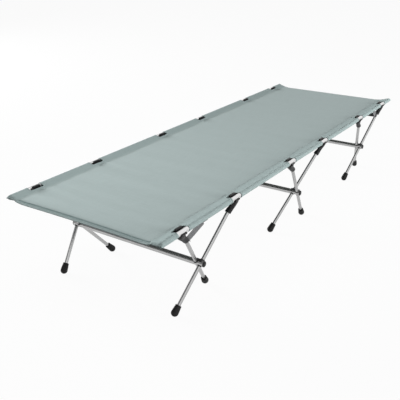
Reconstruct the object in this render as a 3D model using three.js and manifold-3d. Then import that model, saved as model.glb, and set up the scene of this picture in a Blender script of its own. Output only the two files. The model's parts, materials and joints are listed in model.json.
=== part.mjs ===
// Folding cot with a stretched fabric bed on two side poles and three scissor-legged frames.
// Millimetres, +Z up, +X towards the head end, +Y to the left of someone looking that way.
// The origin lies on the floor, below the middle of the bed.
import * as THREE from 'three';
import { ConvexGeometry } from 'three/addons/geometries/ConvexGeometry.js';
import { mergeVertices } from 'three/addons/utils/BufferGeometryUtils.js';
import Module from 'manifold-3d';

const wasm = await Module();
wasm.setup();

// ---------------------------------------------------------------- driving dimensions
// Bed
const BED_LENGTH = 1900; // over the closed ends of the sleeves
const POCKET = 12; // flat sewn end of a sleeve beyond the pole
const POLE_SPACING = 605; // between the two pole axes
const POLE_HEIGHT = 324; // floor to pole axis
const POLE_RADIUS = 8;
const POLE_WALL = 1.2;
const FERRULE_REACH = 40; // how far a section's ferrule runs into the next section
const FERRULE_WALL = 1.4;
const PLUG_DEPTH = 14; // plug that closes the pole's outer end

// Fabric
const FABRIC = 1.1; // thickness of one layer
const SEAM_WIDTH = 5.5; // where the two layers lie sewn together
const SEAM_INSET = 33; // pole axis to the seam that closes the sleeve
const FOOT_HEM_BACK = 2; // from the sleeve ends back to the hem, at the foot
const HEAD_HEM_BACK = 15; // the same at the head, where the cloth was pulled towards the foot
const HEM_BOW = 2; // extra hollow of the hem at mid width
const NOTCH_LENGTH = 62; // opening in the sleeve at each hook
const NOTCH_DEPTH = 19; // from the pole axis towards the deck

// Leg frames
const END_OVERHANG = 261; // sleeve ends beyond the middle of an end frame
const FRAME_PITCH = BED_LENGTH / 2 - END_OVERHANG; // between neighbouring frames
const HOOK_SPREAD = 146.5; // leg axis to frame centre, measured at pole height
const HUB_HEIGHT = 144.5; // floor to crossbar axis
const LEG_RADIUS = 6.25;
const LEG_WALL = 1.1;
const OUTER_LEG_INSET = 34.9; // pole axis to the outer leg, measured at the hub
const CROSSBAR_RADIUS = 9.5;
const CROSSBAR_WALL = 1.3;

// Hubs
const COLLAR_WALL = 1.7; // nylon collar round the leg
const COLLAR_PROUD = 3.5; // how far the collar stands out of the crossbar
const HUB_WALL = 0.6; // least material between a leg hole and the joint face
const HUB_END = 3.2; // pivot hub beyond the outer leg's hole
const HUB_BACK = 14; // solid stretch of the crossbar's end behind the leg hole
const BOLT_RADIUS = 3;
const BOLT_BEVEL = 0.6;
const BOLT_CLEAR = 1; // bolt end to the end of its bore
const CAP_RADIUS = 11.6;
const CAP_DEPTH = 6;
const CAP_DOME = 1.8;
const CAP_SKIN = 1.6;

// Hooks
const JAW_LENGTH = 42; // along the pole
const JAW_THICKNESS = 7;
const JAW_RISE = 11; // above the pole axis
const CRADLE_LENGTH = 34;
const CRADLE_WALL = 4;
const JAW_SOFT = 1.5; // bevel along the jaw's edges
const SHOULDER_LAP = 1; // how far the socket runs into the cradle
const SHOULDER_INSET = 2; // socket top back from the cradle's ends and outer face
const LIP_ANGLE = 12; // degrees below level at which the outer lip ends
const SOCKET_REACH = 43; // pole axis to the open end of the socket, along the leg
const SOCKET_STRAIGHT = 11; // parallel stretch at the open end
const SOCKET_WALL = 3.6;
const TUBE_TO_POLE = 15; // pole axis to the top end of the leg tube

// Boots
const BOOT_RADIUS = 12.4;
const BOOT_NECK = 8.6; // radius at the open end
const BOOT_LENGTH = 28; // centre of the round end to the neck
const BOOT_FLAT = 1.4; // worn off the round end where it meets the floor
const BOOT_SOLE = 4; // centre of the round end to the bottom of the bore

// End straps
const STRAP_WIDTH = 20;
const STRAP = 1.6; // thickness
const STRAP_DROP = 5; // below the hook, so that the strap lifts clear of it
const STRAP_RUN = 58; // along the bed, from the leg to the sleeve

const GAP = 0.3; // between pieces that touch
const FIT = 0.15; // between a tube and what it is pressed into
const ROUND = 12; // sides of a round tube
const SMALL_ROUND = 8; // sides of a bolt
const BOOT_STEPS = 4;
const SEAT_STEPS = 8;
const UNDER_STEPS = 4;
const SLEEVE_STEPS = 9;
const BOW_STEPS = 8;
const SETTLE_TURNS = 6;

// ---------------------------------------------------------------- derived places
const poleY = POLE_SPACING / 2;
const poleEndX = BED_LENGTH / 2 - POCKET;
const legRise = POLE_HEIGHT - HUB_HEIGHT;
const legReach = Math.hypot(HOOK_SPREAD, legRise); // hub to pole, seen from the side
const outerHubY = poleY - OUTER_LEG_INSET;
const sleeveRadius = POLE_RADIUS + GAP + FABRIC;
const holeRadius = LEG_RADIUS + FIT;
const collarRadius = holeRadius + COLLAR_WALL;
const boreOf = (radius) => radius / Math.cos(Math.PI / ROUND);

// A leg leans outwards by this much for each millimetre of its side view.
const lean = (hubY) => (poleY - hubY) / legReach;
const halfHole = (hubY) => holeRadius * Math.hypot(1, lean(hubY)) + CROSSBAR_RADIUS * lean(hubY);

// The inner leg sits far enough inside the outer one for both hub walls and the joint gap.
// Its own lean depends on its place, so the distance settles in a few turns.
let innerHubY = outerHubY;
for (let turn = 0; turn < SETTLE_TURNS; turn += 1) {
  innerHubY = outerHubY - halfHole(outerHubY) - halfHole(innerHubY) - 2 * HUB_WALL - GAP;
}
const jointY = innerHubY + halfHole(innerHubY) + HUB_WALL + GAP / 2;
const sleeveEndY = outerHubY + halfHole(outerHubY) + HUB_END;
const capInnerY = sleeveEndY + GAP;
const hubStartY = innerHubY - halfHole(innerHubY) - HUB_BACK;

const FRAMES = [
  { name: 'foot', x: -FRAME_PITCH, outerTop: 1 },
  { name: 'middle', x: 0, outerTop: -1 },
  { name: 'head', x: FRAME_PITCH, outerTop: 1 },
];
const SIDES = [{ name: 'left', s: 1 }, { name: 'right', s: -1 }];

// ---------------------------------------------------------------- materials
const finish = (color, roughness, metalness) =>
  new THREE.MeshStandardMaterial({ color, roughness, metalness });
const aluminium = () => finish(0xc9cac8, 0.35, 1);
const blackNylon = () => finish(0x1d1d1f, 0.55, 0);
const greyNylon = () => finish(0x3c3d3d, 0.6, 0);
const rubber = () => finish(0x2c2c2c, 0.85, 0);
const cloth = () => finish(0x9fb0ad, 0.9, 0);
const webbing = () => finish(0x6d6f70, 0.9, 0);

// ---------------------------------------------------------------- solids
function toSolid(geometry) {
  const bare = geometry.clone();
  for (const name of Object.keys(bare.attributes)) {
    if (name !== 'position') bare.deleteAttribute(name);
  }
  const merged = mergeVertices(bare, 1e-4);
  return new wasm.Manifold(new wasm.Mesh({
    numProp: 3,
    vertProperties: new Float32Array(merged.attributes.position.array),
    triVerts: new Uint32Array(merged.index.array),
  }));
}

function toGeometry(solid) {
  const mesh = solid.getMesh();
  const geometry = new THREE.BufferGeometry();
  geometry.setAttribute('position', new THREE.BufferAttribute(new Float32Array(mesh.vertProperties), 3));
  geometry.setIndex(new THREE.BufferAttribute(new Uint32Array(mesh.triVerts), 1));
  geometry.computeVertexNormals();
  return geometry;
}

const joined = (solids) => solids.reduce((sum, solid) => sum.add(solid));
const V = (x, y, z) => new THREE.Vector3(x, y, z);

// A solid of revolution from radius and height pairs, laid from point p towards point q.
function turned(profile, p, q, sides = ROUND) {
  const points = profile.map(([r, h]) => new THREE.Vector2(r, h));
  const geometry = new THREE.LatheGeometry(points, sides);
  const turn = new THREE.Quaternion().setFromUnitVectors(V(0, 1, 0), q.clone().sub(p).normalize());
  geometry.applyMatrix4(new THREE.Matrix4().compose(p, turn, V(1, 1, 1)));
  return toSolid(geometry);
}

function rod(p, q, radius, sides = ROUND) {
  const length = p.distanceTo(q);
  return turned([[0, 0], [radius, 0], [radius, length], [0, length]], p, q, sides);
}

function pipe(p, q, radius, wall, sides = ROUND) {
  const length = p.distanceTo(q);
  const bore = radius - wall;
  const ring = [[bore, 0], [radius, 0], [radius, length], [bore, length], [bore, 0]];
  return turned(ring, p, q, sides);
}

function block(low, high) {
  const size = high.clone().sub(low);
  const geometry = new THREE.BoxGeometry(size.x, size.y, size.z);
  const middle = low.clone().add(high).multiplyScalar(0.5);
  geometry.translate(middle.x, middle.y, middle.z);
  return toSolid(geometry);
}

// An outline of (y, z) pairs carried along X between two places.
function alongX(outline, x0, x1) {
  const shape = new THREE.Shape(outline);
  const geometry = new THREE.ExtrudeGeometry(shape, { depth: x1 - x0, bevelEnabled: false });
  const basis = new THREE.Matrix4().makeBasis(V(0, 1, 0), V(0, 0, 1), V(1, 0, 0));
  geometry.applyMatrix4(basis.setPosition(x0, 0, 0));
  return toSolid(geometry);
}

// An outline of (x, y) pairs carried along Z.
function alongZ(outline, z0, z1) {
  const shape = new THREE.Shape(outline);
  const geometry = new THREE.ExtrudeGeometry(shape, { depth: z1 - z0, bevelEnabled: false });
  geometry.translate(0, 0, z0);
  return toSolid(geometry);
}

const P2 = (x, y) => new THREE.Vector2(x, y);

function arc(centre, radius, from, to, steps) {
  return Array.from({ length: steps + 1 }, (_, i) => {
    const angle = from + ((to - from) * i) / steps;
    return P2(centre.x + radius * Math.cos(angle), centre.y + radius * Math.sin(angle));
  });
}

function node(name, material, solid) {
  const mesh = new THREE.Mesh(toGeometry(solid), material);
  mesh.name = name;
  return mesh;
}

// ---------------------------------------------------------------- legs
// The axis of one leg runs straight from its boot through the crossbar axis to the pole axis.
function legAxis(frame, side, outer) {
  const topSign = outer ? frame.outerTop : -frame.outerTop;
  const hubY = outer ? outerHubY : innerHubY;
  const top = V(frame.x + topSign * HOOK_SPREAD, side.s * poleY, POLE_HEIGHT);
  const hub = V(frame.x, side.s * hubY, HUB_HEIGHT);
  const down = hub.clone().sub(top).normalize();
  const footDrop = HUB_HEIGHT - (BOOT_RADIUS - BOOT_FLAT);
  const foot = hub.clone().addScaledVector(down, footDrop / -down.z);
  return { top, hub, down, foot, up: down.clone().negate(), topSign };
}

// Bore for the pivot bolt, across the leg at the crossbar axis.
function boltBore(frame, side, radius) {
  const near = V(frame.x, side.s * (hubStartY - GAP), HUB_HEIGHT);
  const far = V(frame.x, side.s * (capInnerY + CAP_DEPTH), HUB_HEIGHT);
  return rod(near, far, radius, SMALL_ROUND);
}

function legTube(frame, side, axis) {
  const low = axis.foot.clone().addScaledVector(axis.up, BOOT_SOLE + GAP);
  const high = axis.top.clone().addScaledVector(axis.down, TUBE_TO_POLE + GAP);
  return pipe(low, high, LEG_RADIUS, LEG_WALL).subtract(boltBore(frame, side, BOLT_RADIUS + GAP));
}

function boot(axis) {
  const roundEnd = arc(P2(0, 0), BOOT_RADIUS, -Math.PI / 2, Math.PI / 10, BOOT_STEPS).map((p) => [p.x, p.y]);
  const bore = boreOf(holeRadius);
  roundEnd[0][0] = 0;
  const profile = [
    ...roundEnd,
    [BOOT_NECK, BOOT_LENGTH],
    [bore, BOOT_LENGTH],
    [bore, BOOT_SOLE],
    [0, BOOT_SOLE],
  ];
  const floor = block(
    axis.foot.clone().add(V(-2 * BOOT_RADIUS, -2 * BOOT_RADIUS, -3 * BOOT_RADIUS)),
    V(axis.foot.x + 2 * BOOT_RADIUS, axis.foot.y + 2 * BOOT_RADIUS, 0),
  );
  return turned(profile, axis.foot, axis.top).subtract(floor);
}

// ---------------------------------------------------------------- hooks
// Section of the cradle across the pole: tall jaw inside, round seat below, low lip outside.
// Offsets are (outwards, up) from the pole axis.
function cradleOutline() {
  const seat = POLE_RADIUS + GAP;
  const back = seat + JAW_THICKNESS;
  const under = seat + CRADLE_WALL;
  const lip = -THREE.MathUtils.degToRad(LIP_ANGLE);
  return [
    P2(-seat, JAW_RISE - JAW_SOFT),
    ...arc(P2(0, 0), boreOf(seat), -Math.PI, lip, SEAT_STEPS),
    ...arc(P2(0, 0), under, lip, -Math.PI / 2, UNDER_STEPS),
    P2(-back + 2 * JAW_SOFT, -under),
    P2(-back, -under + 2 * JAW_SOFT),
    P2(-back, JAW_RISE - JAW_SOFT),
    P2(-back + JAW_SOFT, JAW_RISE),
    P2(-seat - JAW_SOFT, JAW_RISE),
  ];
}

function hook(axis, side) {
  const place = (p) => P2(side.s * (poleY + p.x), POLE_HEIGHT + p.y);
  const outline = cradleOutline().map(place);
  const jawLimit = side.s * (poleY - POLE_RADIUS - GAP);
  const tall = axis.top.x;
  const jaw = alongX(outline, tall - JAW_LENGTH / 2, tall + JAW_LENGTH / 2);
  // The lip outside the pole is shorter than the jaw inside it.
  const under = POLE_RADIUS + GAP + CRADLE_WALL;
  const ends = [-1, 1].map((e) => {
    const inner = tall + (e * CRADLE_LENGTH) / 2;
    const outer = tall + e * JAW_LENGTH;
    return block(
      V(Math.min(inner, outer), Math.min(jawLimit, side.s * (poleY + 2 * under)), POLE_HEIGHT - 2 * under),
      V(Math.max(inner, outer), Math.max(jawLimit, side.s * (poleY + 2 * under)), POLE_HEIGHT + under),
    );
  });
  // Socket: a round open end that widens into a block under the cradle.
  const socketRadius = holeRadius + SOCKET_WALL;
  const ring = (reach, radius) => {
    const centre = axis.top.clone().addScaledVector(axis.down, reach);
    const across = V(0, 1, 0).cross(axis.down).normalize();
    const other = axis.down.clone().cross(across);
    return Array.from({ length: ROUND }, (_, i) => {
      const angle = (2 * Math.PI * i) / ROUND;
      return centre.clone()
        .addScaledVector(across, radius * Math.cos(angle))
        .addScaledVector(other, radius * Math.sin(angle));
    });
  };
  const shoulder = POLE_HEIGHT - under + SHOULDER_LAP;
  const halfShoulder = CRADLE_LENGTH / 2 - SHOULDER_INSET;
  const topCorners = [-1, 1].flatMap((e) => [-socketRadius, socketRadius - SHOULDER_INSET].map((u) =>
    V(tall + e * halfShoulder, side.s * (poleY + u), shoulder)));
  const socket = toSolid(new ConvexGeometry([
    ...ring(SOCKET_REACH, socketRadius),
    ...ring(SOCKET_REACH - SOCKET_STRAIGHT, socketRadius),
    ...topCorners,
  ]));
  const boreTop = axis.top.clone().addScaledVector(axis.down, TUBE_TO_POLE);
  const boreEnd = axis.top.clone().addScaledVector(axis.down, SOCKET_REACH + socketRadius);
  const poleSpace = rod(
    V(tall - JAW_LENGTH, side.s * poleY, POLE_HEIGHT),
    V(tall + JAW_LENGTH, side.s * poleY, POLE_HEIGHT),
    boreOf(POLE_RADIUS + GAP),
  );
  return jaw.subtract(joined(ends)).add(socket)
    .subtract(poleSpace)
    .subtract(rod(boreTop, boreEnd, boreOf(holeRadius)));
}

// ---------------------------------------------------------------- hubs
// Gives a round bar a collar on both sides for a leg, the leg's hole and the bore of the pivot pin.
function withLegHole(bar, frame, side, outer) {
  const axis = legAxis(frame, side, outer);
  const along = (reach, direction) => axis.hub.clone().addScaledVector(direction, reach);
  const proud = CROSSBAR_RADIUS + COLLAR_PROUD;
  const collar = rod(along(proud, axis.up), along(proud, axis.down), collarRadius);
  const wide = 4 * CROSSBAR_RADIUS;
  const faces = (outer ? [jointY + GAP / 2, sleeveEndY] : [0, jointY - GAP / 2]).map((y) => side.s * y);
  const slice = block(
    V(frame.x - wide, Math.min(...faces), HUB_HEIGHT - wide),
    V(frame.x + wide, Math.max(...faces), HUB_HEIGHT + wide),
  );
  const legHole = rod(along(2 * proud, axis.up), along(2 * proud, axis.down), boreOf(holeRadius));
  return bar.add(collar.intersect(slice))
    .subtract(legHole)
    .subtract(boltBore(frame, side, BOLT_RADIUS + GAP));
}

// The crossbar carries the inner legs in the hubs at its two ends.
function crossbar(frame) {
  const end = jointY - GAP / 2;
  const at = (y) => V(frame.x, y, HUB_HEIGHT);
  const bar = rod(at(-end), at(end), CROSSBAR_RADIUS);
  const hollow = rod(at(-hubStartY), at(hubStartY), CROSSBAR_RADIUS - CROSSBAR_WALL);
  return SIDES.reduce((sum, side) => withLegHole(sum, frame, side, false), bar).subtract(hollow);
}

// The pivot hub holds the outer leg and turns against the end of the crossbar.
function pivotHub(frame, side) {
  const at = (y) => V(frame.x, side.s * y, HUB_HEIGHT);
  return withLegHole(rod(at(jointY + GAP / 2), at(sleeveEndY), CROSSBAR_RADIUS), frame, side, true);
}

// Pivot pin along the crossbar axis, through both legs, under a domed cap.
function pivotPin(frame, side) {
  const length = capInnerY - hubStartY - BOLT_CLEAR;
  const profile = [
    [0, 0],
    [BOLT_RADIUS - BOLT_BEVEL, 0],
    [BOLT_RADIUS, BOLT_BEVEL],
    [BOLT_RADIUS, length],
    [CAP_RADIUS, length],
    [CAP_RADIUS, length + CAP_DEPTH - CAP_DOME],
    [CAP_RADIUS - CAP_SKIN, length + CAP_DEPTH - CAP_DOME / 4],
    [CAP_RADIUS / 2, length + CAP_DEPTH],
    [0, length + CAP_DEPTH],
  ];
  const y = (v) => V(frame.x, side.s * v, HUB_HEIGHT);
  return turned(profile, y(capInnerY - length), y(capInnerY));
}

// ---------------------------------------------------------------- side poles
const poleBore = POLE_RADIUS - POLE_WALL;
const SECTIONS = ['foot', 'middle', 'head'];
const sectionLength = (2 * poleEndX) / SECTIONS.length;

// A pole section has a ferrule fixed in its head end; the outermost ends are plugged.
function poleSection(side, index) {
  const start = -poleEndX + index * sectionLength;
  const end = start + sectionLength;
  const at = (x) => V(x, side.s * poleY, POLE_HEIGHT);
  const first = index === 0;
  const last = index === SECTIONS.length - 1;
  const from = first ? start : start + GAP / 2;
  const to = last ? end : end - GAP / 2;
  const parts = [pipe(at(from), at(to), POLE_RADIUS, POLE_WALL)];
  const inner = poleBore + POLE_WALL / 2;
  const free = poleBore * Math.cos(Math.PI / ROUND) - FIT;
  if (first) parts.push(rod(at(start), at(start + PLUG_DEPTH), inner));
  if (last) {
    parts.push(rod(at(end - PLUG_DEPTH), at(end), inner));
  } else {
    parts.push(pipe(at(end - FERRULE_REACH), at(end - GAP), inner, inner - free + FERRULE_WALL));
    parts.push(pipe(at(end - 2 * GAP), at(end + FERRULE_REACH), free, FERRULE_WALL));
  }
  return joined(parts);
}

// ---------------------------------------------------------------- fabric
// Tangent points from a point to a circle about the origin, as angles below and above the line.
function tangentAngles(point, radius) {
  const turn = 2 * Math.PI;
  const aim = (Math.atan2(point.y, point.x) + turn) % turn;
  const open = Math.acos(radius / point.length());
  return [aim - open, aim + open];
}

// Sleeve wall round one pole, in (outwards, up) offsets from the pole axis, from seam to seam.
function sleeveLoop(radius, seamLow, seamHigh, steps) {
  const low = tangentAngles(seamLow, radius)[1];
  const high = tangentAngles(seamHigh, radius)[0];
  return [seamLow, ...arc(P2(0, 0), radius, low - 2 * Math.PI, high, steps), seamHigh];
}

function bedFabric() {
  // The pull of the taut deck runs through both pole axes.
  const seamLow = P2(-SEAM_INSET, -FABRIC / 2);
  const seamHigh = P2(-SEAM_INSET, FABRIC / 2);
  const outer = sleeveLoop(sleeveRadius, seamLow, seamHigh, SLEEVE_STEPS);
  const toSide = (s) => (p) => P2(s * (poleY + p.x), POLE_HEIGHT + p.y);
  const outline = [
    ...outer.map(toSide(1)),
    ...outer.map(toSide(-1)).reverse(),
  ];
  const tip = P2(-SEAM_INSET + SEAM_WIDTH, 0);
  const loop = sleeveLoop(POLE_RADIUS + GAP, tip, tip, SLEEVE_STEPS).slice(0, -1);
  const tunnels = SIDES.map((side) => alongX(loop.map(toSide(side.s)), -poleEndX - GAP, poleEndX + GAP));
  let sheet = alongX(outline, -BED_LENGTH / 2, BED_LENGTH / 2).subtract(joined(tunnels));

  // The hem lies just inside the sleeve ends and bows in slightly at mid width.
  const seamY = poleY - SEAM_INSET;
  const z0 = POLE_HEIGHT - 2 * sleeveRadius;
  const z1 = POLE_HEIGHT + 2 * sleeveRadius;
  for (const e of [-1, 1]) {
    const hemX = BED_LENGTH / 2 - (e < 0 ? FOOT_HEM_BACK : HEAD_HEM_BACK);
    const bow = Array.from({ length: BOW_STEPS + 1 }, (_, i) => {
      const t = -1 + (2 * i) / BOW_STEPS;
      return P2(e * (hemX - HEM_BOW * (1 - t * t)), t * seamY);
    });
    const beyond = e * (BED_LENGTH / 2 + POCKET);
    const tipX = e * (BED_LENGTH / 2 + GAP);
    const tipY = poleY + POLE_RADIUS / 2;
    const outlineCut = [P2(tipX, -tipY), ...bow, P2(tipX, tipY), P2(beyond, tipY), P2(beyond, -tipY)];
    sheet = sheet.subtract(alongZ(e > 0 ? outlineCut.reverse() : outlineCut, z0, z1));
  }

  for (const frame of FRAMES) {
    for (const side of SIDES) {
      for (const e of [-1, 1]) {
        const x = frame.x + e * HOOK_SPREAD;
        const inside = side.s * (poleY - NOTCH_DEPTH);
        const outside = side.s * (poleY + 2 * sleeveRadius);
        sheet = sheet.subtract(block(
          V(x - NOTCH_LENGTH / 2, Math.min(inside, outside), z0),
          V(x + NOTCH_LENGTH / 2, Math.max(inside, outside), z1),
        ));
      }
    }
  }
  return sheet;
}

// Webbing at one end of the bed: across from leg to leg under the hooks, and up to both sleeves.
function endStrap(frame) {
  const inward = -Math.sign(frame.x);
  const outer = frame.outerTop === -inward;
  const axes = SIDES.map((side) => legAxis(frame, side, outer));
  const reach = SOCKET_REACH + STRAP_DROP + STRAP_WIDTH / 2;
  const on = axes.map((axis) => axis.top.clone().addScaledVector(axis.down, reach));
  const along = V(axes[0].down.x, 0, axes[0].down.z).normalize();
  const normal = V(-along.z * inward, 0, along.x * inward);
  const lift = LEG_RADIUS + GAP;
  const band = toSolid(new ConvexGeometry(on.flatMap((p, i) =>
    [-1, 1].flatMap((w) => [lift, lift + STRAP].map((h) =>
      p.clone().add(V(0, SIDES[i].s * LEG_RADIUS, 0))
        .addScaledVector(along, (w * STRAP_WIDTH) / 2)
        .addScaledVector(normal, h))))));
  const underSleeve = POLE_HEIGHT - sleeveRadius - GAP;
  const risers = on.map((p, i) => {
    const s = SIDES[i].s;
    const foot = p.clone().addScaledVector(normal, lift + STRAP / 2);
    const head = V(foot.x + inward * STRAP_RUN, s * poleY, underSleeve);
    const run = head.clone().sub(foot).normalize();
    const wide = V(-run.z, 0, run.x).normalize().multiplyScalar(STRAP_WIDTH / 2);
    const far = head.clone().addScaledVector(run, STRAP_WIDTH);
    const edges = [-1, 1].flatMap((w) => [
      foot.clone().addScaledVector(along, (w * STRAP_WIDTH) / 2),
      far.clone().addScaledVector(wide, w),
    ]);
    const corners = edges.flatMap((c) => [-1, 1].map((t) => c.clone().add(V(0, (t * STRAP) / 2, 0))));
    const clear = 4 * STRAP_WIDTH;
    const above = block(
      V(head.x - clear, s * poleY - clear, underSleeve),
      V(head.x + clear, s * poleY + clear, underSleeve + clear),
    );
    return toSolid(new ConvexGeometry(corners)).subtract(above);
  });
  return joined([band, ...risers]);
}

// ---------------------------------------------------------------- assembly
const cot = new THREE.Group();

for (const frame of FRAMES) {
  cot.add(node(`crossbar_${frame.name}`, aluminium(), crossbar(frame)));
  for (const side of SIDES) {
    for (const outer of [false, true]) {
      const axis = legAxis(frame, side, outer);
      const name = `${outer ? 'swing' : 'fixed'}_leg_${frame.name}_${side.name}`;
      cot.add(node(`${name}_tube`, aluminium(), legTube(frame, side, axis)));
      cot.add(node(`${name}_hook`, blackNylon(), hook(axis, side)));
      cot.add(node(`${name}_boot`, rubber(), boot(axis)));
    }
    const place = `${frame.name}_${side.name}`;
    cot.add(node(`pivot_hub_${place}`, greyNylon(), pivotHub(frame, side)));
    cot.add(node(`pivot_pin_${place}`, blackNylon(), pivotPin(frame, side)));
  }
  if (frame.x !== 0) cot.add(node(`end_strap_${frame.name}`, webbing(), endStrap(frame)));
}

for (const side of SIDES) {
  SECTIONS.forEach((name, index) => {
    cot.add(node(`side_pole_${name}_${side.name}`, aluminium(), poleSection(side, index)));
  });
}
cot.add(node('bed_fabric', cloth(), bedFabric()));

export default cot;
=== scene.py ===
"""Folding cot: the finished look of every piece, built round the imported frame.

Metres, +Z up, +X towards the head end, +Y to the left of someone looking that way.
The origin lies on the floor, below the middle of the bed.
"""

import json
import math

import bmesh
import bpy
import numpy as np
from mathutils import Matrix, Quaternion, Vector


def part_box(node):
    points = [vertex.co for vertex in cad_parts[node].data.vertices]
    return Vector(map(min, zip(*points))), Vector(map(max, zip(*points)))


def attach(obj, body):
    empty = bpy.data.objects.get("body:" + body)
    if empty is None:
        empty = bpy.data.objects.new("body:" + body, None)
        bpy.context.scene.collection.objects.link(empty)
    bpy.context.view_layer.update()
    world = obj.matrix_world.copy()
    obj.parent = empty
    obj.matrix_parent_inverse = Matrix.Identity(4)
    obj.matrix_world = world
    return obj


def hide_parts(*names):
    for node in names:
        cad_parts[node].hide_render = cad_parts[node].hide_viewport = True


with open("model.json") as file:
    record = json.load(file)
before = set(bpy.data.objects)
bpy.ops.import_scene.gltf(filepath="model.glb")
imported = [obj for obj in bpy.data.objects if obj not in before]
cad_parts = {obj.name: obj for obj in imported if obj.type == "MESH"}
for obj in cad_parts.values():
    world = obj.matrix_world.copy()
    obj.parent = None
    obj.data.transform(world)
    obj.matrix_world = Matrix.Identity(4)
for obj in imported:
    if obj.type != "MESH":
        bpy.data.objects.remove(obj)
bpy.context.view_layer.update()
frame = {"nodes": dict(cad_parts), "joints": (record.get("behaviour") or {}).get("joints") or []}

# ---------------------------------------------------------------- sizes
MM = 0.001
GAP = 0.3 * MM  # between pieces that touch
TUBE_FIT = 0.1 * MM  # between a leg tube and the collar or boot round it

# Camera and light
CAMERA_PLACE = (-2.1049, -1.2288, 1.1023)
CAMERA_AZIMUTH = math.radians(-55.789)
CAMERA_ELEVATION = math.radians(23.404)
CAMERA_ROLL = math.radians(0.455)
CAMERA_LENS = 55.73
FLOOR_SIZE = 60.0
FLOOR_BELOW = 0.5 * MM  # the floor lies this far under the soles
FLOOR_TONE = 0.6
FLOOR_WHITE = 0.95  # share of plain white in what the camera sees of the floor; the rest keeps the shadow
FLOOR_MIRRORED = 0.5  # share of plain white in what metal shows of the floor
AMBIENT = 0.1
DARK_WALL_WAY = (-0.45, 0.89, 0)  # towards the unlit wall that metal shows
DARK_WALL_DEPTH = 0.8

# Tubes
POLE_WALL = 1.2 * MM
LEG_RADIUS = 6.25 * MM
LEG_WALL = 1.1 * MM
CROSSBAR_RADIUS = 10 * MM
CROSSBAR_WALL = 1.3 * MM
TUBE_TO_POLE = 15.3 * MM  # top end of a leg tube to the pole axis
FERRULE_REACH = 40 * MM
FERRULE_WALL = 1.4 * MM
POLE_TIP_BACK = 8 * MM  # keeps the foot's pole ends inside the closing sleeves
TUBE_EDGE = 0.4 * MM

# Cloth
CLOTH = 0.9 * MM  # thickness of one layer
SEAM_INSET = 33 * MM  # pole axis to the seam that closes the sleeve
SEAM_ALLOWANCE = 9 * MM  # lower layer beyond the seam, lying under the deck
FOOT_SLEEVE_BACK = 7 * MM  # the foot's sleeve ends stand this far inside the bed's end
FOOT_HEM_BACK = 8 * MM  # from the bed's end back to the hem's corners
HEAD_HEM_BACK = 15 * MM
FOOT_HEM_BOW = 5 * MM  # the hem's middle lies this much further back than its corners
HEAD_HEM_BOW = 2 * MM
HEM_WIDTH = 11 * MM
CURL_RUN = 25 * MM  # the deck starts to hang down this far from the hem's edge
CURL_DROP = 6 * MM  # and hangs this deep at the edge
CURL_FADE = 30 * MM  # over this width beside the seam the hanging halves
NOTCH_LENGTH = 57 * MM
NOTCH_DEPTH = 21.5 * MM
NOTCH_CORNER = 7 * MM
NOTCH_FADE = 14 * MM  # the grid is moved for a notch's round corners up to this far away

# Hooks
JAW_LENGTH = 33 * MM
JAW_THICKNESS = 7 * MM
JAW_RISE = 11.5 * MM
JAW_CHAMFER_TOP = -6 * MM  # heights from the pole axis
JAW_BOTTOM = -12 * MM
JAW_CHAMFER = 5 * MM
JAW_CORNER = 2.6 * MM
CRADLE_LENGTH = 24 * MM
CRADLE_WALL = 4 * MM
CRADLE_START = math.radians(-178)
LIP_ANGLE = math.radians(12)
SOCKET_REACH = {"fixed": 60 * MM, "swing": 52 * MM}  # pole axis to the open end, along the leg
SOCKET_WAIST = {"fixed": 2.4 * MM, "swing": 0.9 * MM}
SOCKET_RADIUS = 10.4 * MM
SOCKET_FIT = 0.12 * MM
SOCKET_RIM = 0.8 * MM
THROAT = 0.6 * MM  # the bore is this much wider at the mouth
BLOCK_WIDER = 2.6 * MM  # the block under the cradle against the round end
BLOCK_THINNER = 0.4 * MM
BLOCK_SQUARENESS = 0.55
BLOCK_BELOW = 4.6 * MM  # under the pole, where the last section lies
BLOCK_TOP = 2.2 * MM
HOOK_EDGE = 0.7 * MM

# Boots
BOOT_RADIUS = 12.4 * MM
BOOT_NECK = 9.5 * MM
BOOT_LENGTH = 26 * MM
BOOT_SOLE = 4.3 * MM  # centre of the round end to the bottom of the tube

# Hubs and caps
COLLAR_RADIUS = 7.6 * MM
LOW_COLLAR_RADIUS = LEG_RADIUS + 1.1 * MM
COLLAR_REACH = 14 * MM  # crossbar axis to the upper collar's end, along the leg
LOW_COLLAR_REACH = 11 * MM
COLLAR_SUNK = 3.5 * MM  # a collar starts this deep under the crossbar's surface
COLLAR_EDGE = 0.6 * MM
SADDLE_HALF = math.radians(40)  # the saddle wraps the crossbar this far to each side of its top
SADDLE_WIDTH = 7.8 * MM  # from the middle of the leg to the saddle's edge, along the crossbar
SADDLE_BORE = CROSSBAR_RADIUS + 0.15 * MM
SADDLE_RADIUS = CROSSBAR_RADIUS + 3.2 * MM
HUB_WALL = 3 * MM
HUB_EDGE = 0.5 * MM
CAP_RADIUS = 10.2 * MM
CAP_DEPTH = 4.2 * MM
CAP_EDGE = 0.8 * MM
CAP_GAP = 0.2 * MM

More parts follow.
